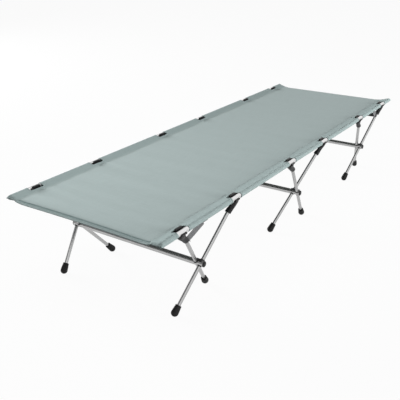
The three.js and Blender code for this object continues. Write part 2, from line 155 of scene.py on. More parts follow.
# End straps
STRAP_WIDTH = 20 * MM
RISER_WIDTH = 25 * MM
STRAP = 1.6 * MM
STRAP_RUN = 58 * MM
STRAP_RIBS = 9
RIB_DEPTH = 0.42 * MM
RISER_TURN = 2.2  # the riser has turned upright after 1 / this of its length
RISER_GAP = 0.2 * MM  # to the underside of the sleeve
TAB_BACK = 8 * MM  # the riser's sewn end reaches this far outwards and inwards of its top
TAB_FORTH = 22 * MM
TAB_INSET = 2 * MM  # from the pole axis, towards the middle of the bed
TAB_WIDTH = 0.62 * STRAP_WIDTH
PATCH_START = 9 * MM  # the doubled patch on the band, from the middle of the leg
PATCH_END = 30 * MM
PATCH_WIDTH = 0.98 * STRAP_WIDTH
SEWN_STRAP = 0.9 * STRAP  # webbing is pressed thinner where it is sewn down
BAND_PAST = 0.012  # share of its length by which the band passes the middle of each leg
BAND_SAG = 3 * MM

ROUND = 48  # columns round a tube
SHARP_EDGE = 34  # degrees between faces from which an edge stays sharp

ALONG = np.array([1.0, 0.0, 0.0])
UP = np.array([0.0, 0.0, 1.0])

# ---------------------------------------------------------------- places from the frame
FRAMES = ("foot", "middle", "head")
SIDES = {"left": 1, "right": -1}
joints = {joint["name"]: joint for joint in frame["joints"]}


def corners(node):
    """All corner points of a CAD node, as rows of x, y, z."""
    mesh = frame["nodes"][node].data
    flat = np.empty(len(mesh.vertices) * 3, np.float32)
    mesh.vertices.foreach_get("co", flat)
    return flat.reshape(-1, 3).astype(float)


def bar_ends(node):
    """Centres of the end faces of a straight bar, the lower one first.

    The bar's direction is the principal direction of its corners, and an end's centre is the
    middle between the extremes of the corners that lie furthest out along it.
    """
    points = corners(node)
    middle = points.mean(0)
    direction = np.linalg.svd(points - middle, full_matrices=False)[2][0]
    if direction[2] < 0:
        direction = -direction
    along = (points - middle) @ direction
    ends = []
    for out in (points[along < along.min() + MM], points[along > along.max() - MM]):
        ends.append((out.min(0) + out.max(0)) / 2)
    return ends


pole_low, pole_high = (np.array(c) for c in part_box("side_pole_foot_left"))
POLE_RADIUS = (pole_high[2] - pole_low[2]) / 2
POLE_Y = (pole_high[1] + pole_low[1]) / 2
POLE_Z = (pole_high[2] + pole_low[2]) / 2
SEAT_RADIUS = POLE_RADIUS + GAP
BED_END = -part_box("bed_fabric")[0][0]
HUB_Z = joints["swing_foot_left"]["pos_m"][2]
FRAME_X = {name: joints[f"swing_{name}_left"]["pos_m"][0] for name in FRAMES}


def leg_line(kind, name, side):
    """Places along one leg: ends of its tube, its direction, and where it meets hub, pole and boot."""
    low, high = bar_ends(f"{kind}_leg_{name}_{side}_tube")
    up = (high - low) / np.linalg.norm(high - low)
    hub = low + up * (FRAME_X[name] - low[0]) / up[0]
    return {
        "low": low,
        "high": high,
        "up": up,
        "hub": hub,
        "pole": high + up * TUBE_TO_POLE,
        "boot": low - up * BOOT_SOLE,
    }


LEGS = {
    (kind, name, side): leg_line(kind, name, side)
    for name in FRAMES
    for side in SIDES
    for kind in ("fixed", "swing")
}
HOOK_X = sorted({round(leg["pole"][0], 4) for leg in LEGS.values()})


def leg_body(kind, name, side):
    """The inner (fixed) legs belong to the frames' body, each outer (swing) leg to its own."""
    return "leg_frames" if kind == "fixed" else f"swing_leg_{name}_{side}"


# ---------------------------------------------------------------- surfaces
def surface(points, wrap=(False, False), caps=False, place=None, keep=None):
    """Quads over a rows by columns grid of points; a wrapped direction joins its last line to its first.

    place is the way along and round the surface, for patterns that follow it, and on cloth a third number:
    how much painted shade darkens its colour there, 0 on a single layer and 1 where it lies double.
    """
    rows, cols = points.shape[:2]
    row = np.arange(rows if wrap[0] else rows - 1)[:, None]
    col = np.arange(cols if wrap[1] else cols - 1)[None, :]
    next_row, next_col = (row + 1) % rows, (col + 1) % cols
    ring = (row * cols + col, row * cols + next_col, next_row * cols + next_col, next_row * cols + col)
    quads = np.stack(np.broadcast_arrays(*ring), -1)
    faces = (quads if keep is None else quads[keep]).reshape(-1, 4).tolist()
    if caps:
        last = (rows - 1) * cols
        faces += [list(range(cols))[::-1], list(range(last, last + cols))]
    if place is None:
        place = np.zeros((rows, cols, 2))
    return points.reshape(-1, 3), faces, place.reshape(rows * cols, -1)


def basis(direction, near=UP):
    """The direction at unit length, and two unit vectors square to it and to each other.

    The first of the two lies as close to near as it can.
    """
    d = np.asarray(direction, float)
    d = d / np.linalg.norm(d)
    n = np.asarray(near, float)
    n = n - (n @ d) * d
    if np.linalg.norm(n) < 1e-6:
        n = ALONG - d[0] * d
    n = n / np.linalg.norm(n)
    return d, n, np.cross(d, n)


def smooth(t):
    """Eases from 0 to 1 with level ends: 3 t^2 - 2 t^3."""
    t = np.clip(t, 0, 1)
    return t * t * (3 - 2 * t)


def travelled(points):
    """Distance along a line of points, from 0 at its first."""
    return np.concatenate([[0], np.cumsum(np.linalg.norm(np.diff(points, axis=0), axis=1))])


def superellipse(wide, deep, power, angle):
    """Rounded box: wide * sign(cos a) * |cos a|^power, and the same with deep and sin a."""
    a = wide * np.sign(np.cos(angle)) * np.abs(np.cos(angle)) ** power
    b = deep * np.sign(np.sin(angle)) * np.abs(np.sin(angle)) ** power
    return a, b


def turned(profile, start, direction, sides=ROUND):
    """Surface of revolution: start + h * direction + r * (cos a * e1 + sin a * e2), at each angle a."""
    d, e1, e2 = basis(direction)
    r, h = np.asarray(profile, float).T
    angle = np.linspace(0, 2 * math.pi, sides, endpoint=False)
    ring = np.cos(angle)[:, None] * e1 + np.sin(angle)[:, None] * e2
    points = np.asarray(start, float) + h[:, None, None] * d + r[:, None, None] * ring
    along = np.concatenate([[0], np.cumsum(np.hypot(np.diff(r), np.diff(h)))])
    round_way = np.broadcast_to(angle * r.max(), (len(r), sides))
    place = np.stack([np.broadcast_to(along[:, None], round_way.shape), round_way], -1)
    return surface(points, wrap=(False, True), place=place)


def carried(section, centre, across, upright):
    """A closed section of (a, b) offsets carried along centre points: centre + a * across + b * upright."""
    a, b = np.asarray(section, float).T
    centre = np.asarray(centre, float)
    across = np.broadcast_to(np.asarray(across, float), centre.shape)
    upright = np.broadcast_to(np.asarray(upright, float), centre.shape)
    points = centre[:, None] + a[:, None] * across[:, None] + b[:, None] * upright[:, None]
    place = np.stack(np.meshgrid(travelled(centre), travelled(np.stack([a, b], -1)), indexing="ij"), -1)
    return surface(points, wrap=(False, True), caps=True, place=place)


def softened(outline, radius, closed=True, steps=4):
    """The outline with each corner turned into a quadratic curve that starts and ends radius away from it."""
    outline = np.asarray(outline, float)
    count = len(outline)
    t = np.linspace(0, 1, steps)[:, None]
    result = []
    for i, corner in enumerate(outline):
        if not closed and i in (0, count - 1):
            result.append(corner[None])
            continue
        before, after = outline[i - 1] - corner, outline[(i + 1) % count] - corner
        reach = min(radius, np.linalg.norm(before) / 2.01, np.linalg.norm(after) / 2.01)
        first = corner + before / np.linalg.norm(before) * reach
        last = corner + after / np.linalg.norm(after) * reach
        result.append((1 - t) ** 2 * first + 2 * t * (1 - t) * corner + t**2 * last)
    return np.concatenate(result)


def arc(centre, radius, start, end, steps):
    """Points of a round stretch from one angle to another."""
    angle = np.linspace(start, end, steps)
    return np.stack([centre[0] + radius * np.cos(angle), centre[1] + radius * np.sin(angle)], -1)


def closed_ring(outline, edge):
    """The outline with soft corners and its first point again at the end."""
    ring = softened(outline, edge)
    return np.concatenate([ring, ring[:1]])


def piece(name, surfaces, material, body, replaces=(), sharp=SHARP_EDGE, closed=True):
    """One object made of surfaces, riding on a body.

    On a closed one, meeting points are merged and the faces turned outwards.
    """
    points, faces, places, start = [], [], [], 0
    for p, f, place in surfaces:
        points.append(p)
        faces += [[i + start for i in face] for face in f]
        places.append(place)
        start += len(p)
    mesh = bpy.data.meshes.new(name)
    mesh.from_pydata(np.concatenate(points).tolist(), [], faces)
    attribute = mesh.attributes.new("surface_place", "FLOAT_VECTOR", "POINT")
    flat = np.zeros((start, 3), np.float32)
    known = np.concatenate(places)
    flat[:, : known.shape[1]] = known
    attribute.data.foreach_set("vector", flat.ravel())
    work = bmesh.new()
    work.from_mesh(mesh)
    if closed:
        bmesh.ops.remove_doubles(work, verts=work.verts, dist=1e-6)
        bmesh.ops.recalc_face_normals(work, faces=work.faces)
    loose = [v for v in work.verts if not v.link_faces]
    bmesh.ops.delete(work, geom=loose, context="VERTS")
    work.to_mesh(mesh)
    work.free()
    mesh.polygons.foreach_set("use_smooth", [True] * len(mesh.polygons))
    mesh.set_sharp_from_angle(angle=math.radians(sharp))
    mesh.materials.append(material)
    made = bpy.data.objects.new(name, mesh)
    bpy.context.scene.collection.objects.link(made)
    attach(made, body)
    if replaces:
        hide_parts(*replaces)
    return made


def bevelled(thing, width, segments=2):
    """Rounds the sharp edges of a piece."""
    bevel = thing.modifiers.new("edges", "BEVEL")
    bevel.width = width
    bevel.segments = segments
    bevel.limit_method = "ANGLE"
    bevel.angle_limit = math.radians(SHARP_EDGE)
    bevel.harden_normals = True


def thickened(thing, thickness):
    """Gives a sheet its thickness, half to each side."""
    wall = thing.modifiers.new("thickness", "SOLIDIFY")
    wall.thickness = thickness
    wall.offset = 0
    return wall


# ---------------------------------------------------------------- materials
def feed(tree, socket, value):
    """Gives a socket a value, or a link where the value is another node's output."""
    if isinstance(value, bpy.types.NodeSocket):
        tree.links.new(value, socket)
    else:
        socket.default_value = value


def put(tree, kind, settings=None, **sockets):
    """Adds a node and feeds the sockets named."""
    node = tree.nodes.new(kind)
    for key, value in (settings or {}).items():
        setattr(node, key, value)
    for key, value in sockets.items():
        feed(tree, node.inputs[key.replace("_", " ")], value)
    return node


def new_finish(name, roughness, metallic=0.0, **fixed):
    """A material with its Principled shader; fixed gives the values of further sockets."""
    material = bpy.data.materials.new(name)
    material.use_nodes = True
    tree = material.node_tree
    shader = tree.nodes["Principled BSDF"]
    shader.inputs["Roughness"].default_value = roughness
    shader.inputs["Metallic"].default_value = metallic
    for key, value in fixed.items():
        shader.inputs[key.replace("_", " ")].default_value = value
    return material, tree, shader


def followed(tree, scale):
    """Coordinates that follow the piece's own surface, stretched by scale."""
    place = put(tree, "ShaderNodeAttribute", {"attribute_name": "surface_place"})
    return put(tree, "ShaderNodeMapping", Vector=place.outputs["Vector"], Scale=scale).outputs[0]


def fixed_to_object(tree):
    """Coordinates that stay with the piece in the object's own space."""
    return put(tree, "ShaderNodeTexCoord").outputs["Object"]


def noise(tree, coordinates, scale, detail=3.0, roughness=0.55):
    """Cloudy values round 0.5."""
    return put(
        tree, "ShaderNodeTexNoise", Vector=coordinates, Scale=scale, Detail=detail, Roughness=roughness
    ).outputs["Fac"]


def math_node(tree, operation, a, b=0.0, c=0.0):
    """One calculation on values or links; only some of them use all three."""
    node = put(tree, "ShaderNodeMath", {"operation": operation})
    for socket, value in zip(node.inputs, (a, b, c)):
        feed(tree, socket, value)
    return node.outputs[0]


def spread(tree, value, low, high, start=0.3, end=0.7):
    """Maps a noise value from its usual range to a range of its own."""
    return put(
        tree,
        "ShaderNodeMapRange",
        Value=value,
        **{"From_Min": start, "From_Max": end, "To_Min": low, "To_Max": high},
    ).outputs[0]


def mixed(tree, factor, a, b):
    """Colour a where the factor is 0 and b where it is 1; a Mix node's colours are its sockets 6 and 7."""
    node = put(tree, "ShaderNodeMix", {"data_type": "RGBA"})
    for socket, value in zip((node.inputs[0], node.inputs[6], node.inputs[7]), (factor, a, b)):
        feed(tree, socket, value)
    return node.outputs[2]


def raised(tree, shader, height, distance, strength=1.0):
    """Fine relief, too small for the mesh."""
    bump = put(tree, "ShaderNodeBump", Height=height, Distance=distance, Strength=strength)
    tree.links.new(bump.outputs[0], shader.inputs["Normal"])


def drawn_aluminium(name, dull, bright):
    """Anodised tube: faint lines along the drawing direction and cloudy gloss."""
    material, tree, shader = new_finish(name, 0.2, 1.0)
    lines = noise(tree, followed(tree, (6, 900, 1)), 1.0, 4)
    clouds = noise(tree, fixed_to_object(tree), 22.0, 2)
    tone = math_node(tree, "MULTIPLY_ADD", lines, 0.5, clouds)
    colour = mixed(tree, spread(tree, tone, 0, 1), (dull, dull, dull, 1), (bright, bright, bright, 1))
    tree.links.new(colour, shader.inputs["Base Color"])
    tree.links.new(spread(tree, tone, 0.13, 0.24), shader.inputs["Roughness"])
    raised(tree, shader, lines, 0.01 * MM, 0.6)
    return material


def moulded(name, colour, worn, roughness, grain, depth):
    """Moulded plastic or rubber: fine grain, and slightly paler where it is rubbed."""
    material, tree, shader = new_finish(name, roughness, Specular_IOR_Level=0.3)
    place = fixed_to_object(tree)
    fine = noise(tree, place, grain, 2)
    broad = noise(tree, place, 60.0, 3)
    colour = mixed(tree, spread(tree, broad, 0, 1, 0.45, 0.75), (*colour, 1), (*worn, 1))
    tree.links.new(colour, shader.inputs["Base Color"])
    gloss = spread(tree, broad, roughness - 0.06, roughness + 0.08)
    tree.links.new(gloss, shader.inputs["Roughness"])
    raised(tree, shader, fine, depth, 0.5)
    return material


THREAD_PITCH = 0.8 * MM
PAINTED_SHADE_SHARE = 0.19  # painted shade: share of the cloth's colour that goes to a dark tone where no light comes through from below
# the dark tone that the painted shade moves the cloth's colour towards
PAINTED_SHADE_TONE = (0.05, 0.11, 0.11, 1)


def woven_cloth(name, pale, deep, clouded):
    """Plain-woven synthetic cloth: two sets of threads of slightly different tone, with a fine relief, and
    painted shade where the cloth lies double and in the hems' grooves.
    """
    material, tree, shader = new_finish(
        name, 0.8, Sheen_Weight=0.04, Sheen_Roughness=0.45, Specular_IOR_Level=0.06
    )
    place = put(tree, "ShaderNodeAttribute", {"attribute_name": "surface_place"})
    parts = put(tree, "ShaderNodeSeparateXYZ", Vector=place.outputs["Vector"])
    waves = [
        math_node(tree, "SINE", math_node(tree, "MULTIPLY", parts.outputs[i], 2 * math.pi / THREAD_PITCH))
        for i in (0, 1)
    ]
    weave = math_node(tree, "MULTIPLY", *waves)
    along = noise(tree, followed(tree, (14, 1200, 1)), 1.0, 2)
    across = noise(tree, followed(tree, (1200, 14, 1)), 1.0, 2)
    cloudy = noise(tree, followed(tree, (1, 1, 1)), 7.0, 3)
    tone = math_node(tree, "MULTIPLY", math_node(tree, "ADD", along, across), 0.5)
    fine = mixed(tree, spread(tree, tone, 0, 1, 0.36, 0.64), (*deep, 1), (*pale, 1))
    broad = mixed(tree, spread(tree, cloudy, 0, 0.22), fine, (*clouded, 1))
    # painted shade from the third number of the surface place: where the cloth lies double and in the hems'
    # stitched grooves
    doubled = math_node(tree, "MULTIPLY", parts.outputs[2], PAINTED_SHADE_SHARE)
    tree.links.new(mixed(tree, doubled, broad, PAINTED_SHADE_TONE), shader.inputs["Base Color"])
    relief = math_node(tree, "ADD", math_node(tree, "MULTIPLY", weave, 0.5), tone)
    raised(tree, shader, relief, 0.05 * MM, 0.5)
    return material


def ribbed_webbing():
    """Grey webbing: threads run across the ribs, which are in the mesh."""
    material, tree, shader = new_finish("ribbed_webbing", 0.85, Sheen_Weight=0.1)
    threads = noise(tree, followed(tree, (1500, 60, 1)), 1.0, 3)
    colour = mixed(tree, spread(tree, threads, 0, 1), (0.11, 0.113, 0.116, 1), (0.21, 0.213, 0.218, 1))
    tree.links.new(colour, shader.inputs["Base Color"])
    raised(tree, shader, threads, 0.15 * MM, 0.6)
    return material


ALUMINIUM = drawn_aluminium("drawn_aluminium", 0.44, 0.57)
# Painted reflection: the poles take a paler copy of the tubes' aluminium, so that they look as bright as the
# white floor they reflect.
POLE_ALUMINIUM_PAINTED_REFLECTION = drawn_aluminium("pole_aluminium_painted_reflection", 0.66, 0.8)
BLACK_NYLON = moulded(
    "black_nylon", (0.005, 0.005, 0.0055), (0.014, 0.014, 0.015), 0.38, 2600.0, 0.02 * MM
)
GREY_NYLON = moulded(
    "grey_nylon", (0.045, 0.046, 0.047), (0.075, 0.076, 0.078), 0.5, 2600.0, 0.02 * MM
)
RUBBER = moulded("boot_rubber", (0.008, 0.008, 0.008), (0.022, 0.022, 0.022), 0.55, 1500.0, 0.05 * MM)
CLOTH_FINISH = woven_cloth(
    "woven_cloth", (0.37, 0.44, 0.435), (0.315, 0.375, 0.37), (0.335, 0.395, 0.395)
)
# Painted shade: the cloth's underside is a darker copy of its finish, standing for the shade under the bed
# that the tubes reflect.
CLOTH_BACK_PAINTED_SHADE = woven_cloth(
    "painted_shade_cloth_back", (0.21, 0.222, 0.213), (0.18, 0.192, 0.184), (0.19, 0.20, 0.193)
)
WEBBING = ribbed_webbing()
THREAD = moulded("sewing_thread", (0.29, 0.35, 0.34), (0.34, 0.40, 0.39), 0.8, 4000.0, 0.02 * MM)


# ---------------------------------------------------------------- tubes
def pipe_profile(length, radius, wall, edge=TUBE_EDGE):
    """Closed outline of a pipe wall, with rounded rims."""
    outline = [(radius - wall, 0), (radius, 0), (radius, length), (radius - wall, length)]
    return closed_ring(outline, edge)


def pipe(start, end, radius, wall):
    """A straight tube from start to end: the pipe profile turned about its axis."""
    span = np.asarray(end, float) - np.asarray(start, float)
    return turned(pipe_profile(np.linalg.norm(span), radius, wall), start, span)


for (kind, name, side), leg in LEGS.items():
    piece(
        f"leg_tube_{kind}_{name}_{side}",
        [pipe(leg["low"], leg["high"], LEG_RADIUS, LEG_WALL)],
        ALUMINIUM,
        leg_body(kind, name, side),
        [f"{kind}_leg_{name}_{side}_tube"],
    )

for side in SIDES:
    for section in FRAMES:
        node = f"side_pole_{section}_{side}"
        low, high = (np.array(c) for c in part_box(node))
        y = (low[1] + high[1]) / 2
        ferrule = section != "head"
        end = high[0] - (FERRULE_REACH if ferrule else 0)
        bore = POLE_RADIUS - POLE_WALL
        start = low[0] + (POLE_TIP_BACK if section == "foot" else 0)
        parts = [pipe((start, y, POLE_Z), (end, y, POLE_Z), POLE_RADIUS, POLE_WALL)]
        if ferrule:
            parts.append(pipe((end - FERRULE_REACH, y, POLE_Z), (high[0], y, POLE_Z), bore, FERRULE_WALL))
        # the poles' paler aluminium is a painted reflection
        piece(f"pole_{section}_{side}", parts, POLE_ALUMINIUM_PAINTED_REFLECTION, "bed", [node])

for name in FRAMES:
    low, high = (np.array(c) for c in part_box(f"crossbar_{name}"))
    x = FRAME_X[name]
    piece(
        f"crossbar_tube_{name}",
        [pipe((x, low[1], HUB_Z), (x, high[1], HUB_Z), CROSSBAR_RADIUS, CROSSBAR_WALL)],
        ALUMINIUM,
        "leg_frames",
        [f"crossbar_{name}"],
    )


# ---------------------------------------------------------------- hubs, collars and caps
def collar(leg, sign, neck, reach):
    """Nylon collar round a leg where it enters the crossbar: a slightly tapered neck on a wider foot."""
    bore = LEG_RADIUS + TUBE_FIT
    sunk = CROSSBAR_RADIUS - COLLAR_SUNK
    outline = [
        (bore, sunk),
        (neck + 0.1 * MM, sunk),
        (neck + 0.1 * MM, CROSSBAR_RADIUS + 0.4 * MM),
        (neck - 0.2 * MM, CROSSBAR_RADIUS + 1.4 * MM),
        (neck - 0.3 * MM, reach),
        (bore, reach),
    ]
    return turned(closed_ring(outline, COLLAR_EDGE), leg["hub"], sign * leg["up"])


def saddle(leg):
    """Curved plate on top of the crossbar, from which the upper collar stands."""
    low, high = math.pi / 2 - SADDLE_HALF, math.pi / 2 + SADDLE_HALF
    wall = np.concatenate([
        arc((0, 0), SADDLE_RADIUS, low, high, 17),
        arc((0, 0), SADDLE_BORE, high, low, 17),
    ])
    run = np.linspace(-SADDLE_WIDTH, SADDLE_WIDTH, 5)[:, None] * np.array([0.0, 1.0, 0.0])
    return carried(wall, leg["hub"] + run, ALONG, UP)


def cap_profile():
    """Domed cap: from the middle of the dome over its shoulder to the base."""
    outline = [
        (0, CAP_DEPTH),
        (CAP_RADIUS * 0.45, CAP_DEPTH - 0.1 * MM),
        (CAP_RADIUS - 1.8 * MM, CAP_DEPTH - 0.7 * MM),
        (CAP_RADIUS, CAP_DEPTH - 2.4 * MM),
        (CAP_RADIUS, 0.4 * MM),
        (CAP_RADIUS - 0.8 * MM, 0),
        (0, 0),
    ]
    return softened(outline, CAP_EDGE, closed=False)


def hub_and_cap(name, side):
    """Aluminium sleeve at the crossbar's end, turning with the outer leg, and the still cap outside it."""
    out = SIDES[side]
    low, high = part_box(f"pivot_hub_{name}_{side}")
    near = low[1] if out > 0 else high[1]
    width = high[1] - low[1]
    piece(
        f"hub_sleeve_{name}_{side}",
        [turned(
            pipe_profile(width, CROSSBAR_RADIUS, HUB_WALL, HUB_EDGE),
            (FRAME_X[name], near, HUB_Z),
            (0, out, 0),
        )],
        ALUMINIUM,
        leg_body("swing", name, side),
        [f"pivot_hub_{name}_{side}"],
    )
    piece(
        f"pivot_cap_{name}_{side}",
        [turned(cap_profile(), (FRAME_X[name], near + out * (width + CAP_GAP), HUB_Z), (0, out, 0))],
        BLACK_NYLON,
        "leg_frames",
        [f"pivot_pin_{name}_{side}"],
    )


for (kind, name, side), leg in LEGS.items():
    piece(
        f"leg_collar_{kind}_{name}_{side}",
        [
            collar(leg, 1, COLLAR_RADIUS, COLLAR_REACH),
            collar(leg, -1, LOW_COLLAR_RADIUS, LOW_COLLAR_REACH),
            saddle(leg),
        ],
        GREY_NYLON,
        leg_body(kind, name, side),
    )
    if kind == "swing":
        hub_and_cap(name, side)


# ---------------------------------------------------------------- boots
def boot_profile():
    """Round end, swelling side and a lip round the neck, as radius and height pairs from the tube's axis."""
    under = arc((0, 0), BOOT_RADIUS, -math.pi / 2, math.pi / 12, 12)
    side = [
        (BOOT_RADIUS - 0.5 * MM, 7 * MM),
        (BOOT_NECK + 1.5 * MM, 15 * MM),
        (BOOT_NECK + 0.6 * MM, BOOT_LENGTH - 4.4 * MM),
    ]
    lip = [
        (BOOT_NECK + 0.2 * MM, BOOT_LENGTH - 4.0 * MM),
        (BOOT_NECK + 0.8 * MM, BOOT_LENGTH - 3.2 * MM),
        (BOOT_NECK + 0.8 * MM, BOOT_LENGTH - 0.8 * MM),
        (BOOT_NECK, BOOT_LENGTH),
        (LEG_RADIUS + TUBE_FIT, BOOT_LENGTH),
        (LEG_RADIUS + TUBE_FIT, BOOT_SOLE),
        (0, BOOT_SOLE),
    ]
    under[0, 0] = 0
    return np.concatenate([under, side, lip])


for (kind, name, side), leg in LEGS.items():
    points, faces, place = turned(boot_profile(), leg["boot"], leg["up"])
    points[:, 2] = np.maximum(points[:, 2], 0)  # the sole is flat where it stands on the floor
    piece(
        f"boot_{kind}_{name}_{side}",
        [(points, faces, place)],
        RUBBER,
        leg_body(kind, name, side),
        [f"{kind}_leg_{name}_{side}_boot"],
    )


# ---------------------------------------------------------------- hooks
def hook_jaw(centre, out):
    """Tall jaw inside the pole: its face seen from the side, carried across its thickness."""
    half = JAW_LENGTH / 2
    face = softened(
        [
            (-half, JAW_RISE),
            (-half, JAW_CHAMFER_TOP),
            (-half + JAW_CHAMFER, JAW_BOTTOM),
            (half - JAW_CHAMFER, JAW_BOTTOM),
            (half, JAW_CHAMFER_TOP),
            (half, JAW_RISE),
        ],
        JAW_CORNER,
    )
    steps = -SEAT_RADIUS - JAW_THICKNESS * np.linspace(0, 1, 4)
    return carried(face, centre + steps[:, None] * out, ALONG, UP)


def hook_cradle(centre, out):
    """Curved cradle: a bent wall from the jaw round under the pole to the lip."""
    wall = np.concatenate([
        arc((0, 0), SEAT_RADIUS, CRADLE_START, -LIP_ANGLE, 22),
        arc((0, 0), SEAT_RADIUS + CRADLE_WALL, -LIP_ANGLE, CRADLE_START, 22),
    ])
    run = np.linspace(-CRADLE_LENGTH / 2, CRADLE_LENGTH / 2, 9)
    return carried(wall, centre + run[:, None] * ALONG, out, UP)


def hook_socket(leg, kind, out):
    """Socket: superellipse sections from the round open end to the block under the cradle.

    The rows run from the block's top over the outside to the mouth, then up the bore to its bottom.
    """
    x, _, z = leg["pole"]
    down = -leg["up"]
    _, e1, e2 = basis(down, ALONG)
    if e2 @ out < 0:
        e2 = -e2
    angle = np.linspace(0, 2 * math.pi, ROUND, endpoint=False)
    share = np.linspace(0, 1, 15)[:, None]
    ease = smooth(share)
    waist = SOCKET_WAIST[kind] * np.sin(math.pi * np.clip(share * 1.1, 0, 1)) ** 2
    wide = SOCKET_RADIUS - waist + BLOCK_WIDER * ease
    deep = SOCKET_RADIUS - waist - BLOCK_THINNER * ease
    a, b = superellipse(wide, deep, 1 - BLOCK_SQUARENESS * ease, angle)
    reach_end = SOCKET_REACH[kind]
    reach = reach_end - share * (reach_end - SEAT_RADIUS - BLOCK_BELOW)
    middle = leg["pole"] + reach * down
    middle[:, 0] = middle[:, 0] * (1 - ease[:, 0]) + x * ease[:, 0]
    # The sections turn from square to the leg to level with the pole.
    turn = ease[:, :, None]
    side_way = e1 * (1 - turn) + ALONG * turn
    side_way /= np.linalg.norm(side_way, axis=2, keepdims=True)
    deep_way = e2 * (1 - turn) + out * turn
    deep_way /= np.linalg.norm(deep_way, axis=2, keepdims=True)
    outside = middle[:, None] + a[:, :, None] * side_way + b[:, :, None] * deep_way
    outside[:, :, 2] = np.minimum(outside[:, :, 2], z - SEAT_RADIUS - BLOCK_TOP)
    bore = LEG_RADIUS + SOCKET_FIT
    mouth = leg["pole"] + reach_end * down
    ring = np.cos(angle)[:, None] * e1 + np.sin(angle)[:, None] * e2
    lip = mouth + (SOCKET_RADIUS - SOCKET_RIM) * ring + SOCKET_RIM * down
    throat = mouth + (bore + THROAT) * ring + SOCKET_RIM * down
    inner = mouth + bore * ring
    deepest = leg["pole"] + (TUBE_TO_POLE + 1 * MM) * down + bore * ring
    top = np.broadcast_to(outside[-1].mean(0), ring.shape)
    bottom = np.broadcast_to(deepest.mean(0), ring.shape)
    rows = np.stack([top, *outside[::-1], lip, throat, inner, deepest, bottom])
    return surface(rows, wrap=(False, True))


for (kind, name, side), leg in LEGS.items():
    centre = np.array([leg["pole"][0], SIDES[side] * POLE_Y, leg["pole"][2]])
    out = np.array([0.0, SIDES[side], 0.0])
    hook = piece(
        f"hook_{kind}_{name}_{side}",
        [hook_jaw(centre, out), hook_cradle(centre, out), hook_socket(leg, kind, out)],
        BLACK_NYLON,
        leg_body(kind, name, side),
        [f"{kind}_leg_{name}_{side}_hook"],
    )
    bevelled(hook, HOOK_EDGE)


# ---------------------------------------------------------------- cloth
SLEEVE_RADIUS = POLE_RADIUS + GAP + CLOTH / 2
SEAM_Y = POLE_Y - SEAM_INSET
LAYER = CLOTH + 0.1 * MM  # from the middle of one sewn layer to the next
PULL_START = 0.875  # beyond this the rows of the grid slant towards the shape of the end

# Sleeve
NOSE = 12 * MM  # length over which the sleeve closes to its sewn end
GATHER_PITCH = 10.5 * MM
GATHER_HEIGHT = 0.8 * MM
PINCH_OUT = 1.5 * MM  # the closing end also shifts outwards
SEW_BLEND = 4 * MM  # the gathers start gradually, over this much beside the seam
SEAM_BLEND = 9 * MM  # the rise to the pole starts gradually, over this much to either side of the seam
SEAM_WAVER = 4 * MM  # how far the seam strays from a straight line: out at the hooks, in between them
WAVER_SPREAD = 16 * MM  # how far across the cloth that reaches
WAVER_REACH = 110 * MM  # from a hook to where the seam stands furthest in
WAVER_LENGTH = 94 * MM
SLACK_LENGTHS = (83 * MM, 210 * MM)  # the hollow beside the pole comes and goes at these two lengths
HOLLOW_DEPTH = 0.5 * MM

# Hem
GROOVE_INSET = 1.5 * MM  # the hem's stitching runs this far inside its inner edge
GROOVE_WIDTH = 2.4 * MM
GROOVE_DEPTH = 1.3 * MM
HEM_SWELL = 0.6 * MM
SWELL_SHORT = 2 * MM  # the swelling ends this much before the hem's inner edge
ROLL_DROP = 1 * MM
ROLL_WIDTH = 3 * MM

# Painted shade on the cloth, against 1 on the sleeves: where it lies double no light comes through from
# below, and shade falls in the hems' stitched groove
SLEEVE_SHADE_FROM = 7 * MM  # the painted shade starts this far inside the seam
SLEEVE_SHADE_BLEND = 12 * MM
HEM_SHADE_PAST = 1 * MM
HEM_SHADE_BLEND = 3 * MM
HEM_PAINTED_SHADE = 1.1
GROOVE_PAINTED_SHADE = 3.4

# Waves in the deck. Their heights are in millimetres, because they are added up before they are scaled.
DECK_WAVES = (  # height, slant across the bed, length, phase
    (0.75, 0.06, 113 * MM, 0.7),
    (0.36, -0.10, 71 * MM, 2.1),
    (0.85, 0.16, 197 * MM, 4.0),
)
RIDGE_HEIGHT = 1.2
RIDGE_WIDTH = 17 * MM
RIDGE_SLANT = 0.03
RIDGE_HOLLOW = 36 * MM  # from the ridge's top to the bottom of the hollow beside it
HOLLOW_WIDTH = 15 * MM
PUCKER_HEIGHT = 0.9
PUCKER_RUN = 55 * MM  # how far the puckers reach into the deck
PUCKER_START = 12 * MM
FAN_WIDTH = 24 * MM  # at the seam
FAN_SPREAD = 0.55  # widening per length into the deck

# Grid
DECK_POINTS = 60
LOOP_POINTS = 80
ROW_STEP = 9 * MM
ROW_FINE = 3.1 * MM
COLUMN_STEP = 13 * MM
COLUMN_FINE = 3 * MM
FINE_NEAR = 12 * MM  # the grid is fine this far to either side of a mark
HEM_STEP = 1.3 * MM  # between the grid's rows where the hem's stitching dips
HEM_ROWS_FROM = 8 * MM  # those rows lie between these distances from the bed's end
HEM_ROWS_TO = 24 * MM
LAST_FINE_ROW = 30 * MM


def half_section():
    """Distance across the cloth against (y, height) of its middle surface, from the centre line outwards.

    Flat deck, straight rise to the tangent of the pole, round the pole, straight back to the seam,
    and a short allowance under the deck.
    """
    lean = math.acos(SLEEVE_RADIUS / SEAM_INSET)
    deck = np.stack([np.linspace(0, SEAM_Y, DECK_POINTS), np.zeros(DECK_POINTS)], -1)
    loop = arc((POLE_Y, 0), SLEEVE_RADIUS, math.pi - lean, lean - math.pi, LOOP_POINTS)
    under = np.array([[SEAM_Y, -LAYER], [SEAM_Y - SEAM_ALLOWANCE, -LAYER]])
    outline = np.concatenate([deck, loop, under])
    return travelled(outline), outline


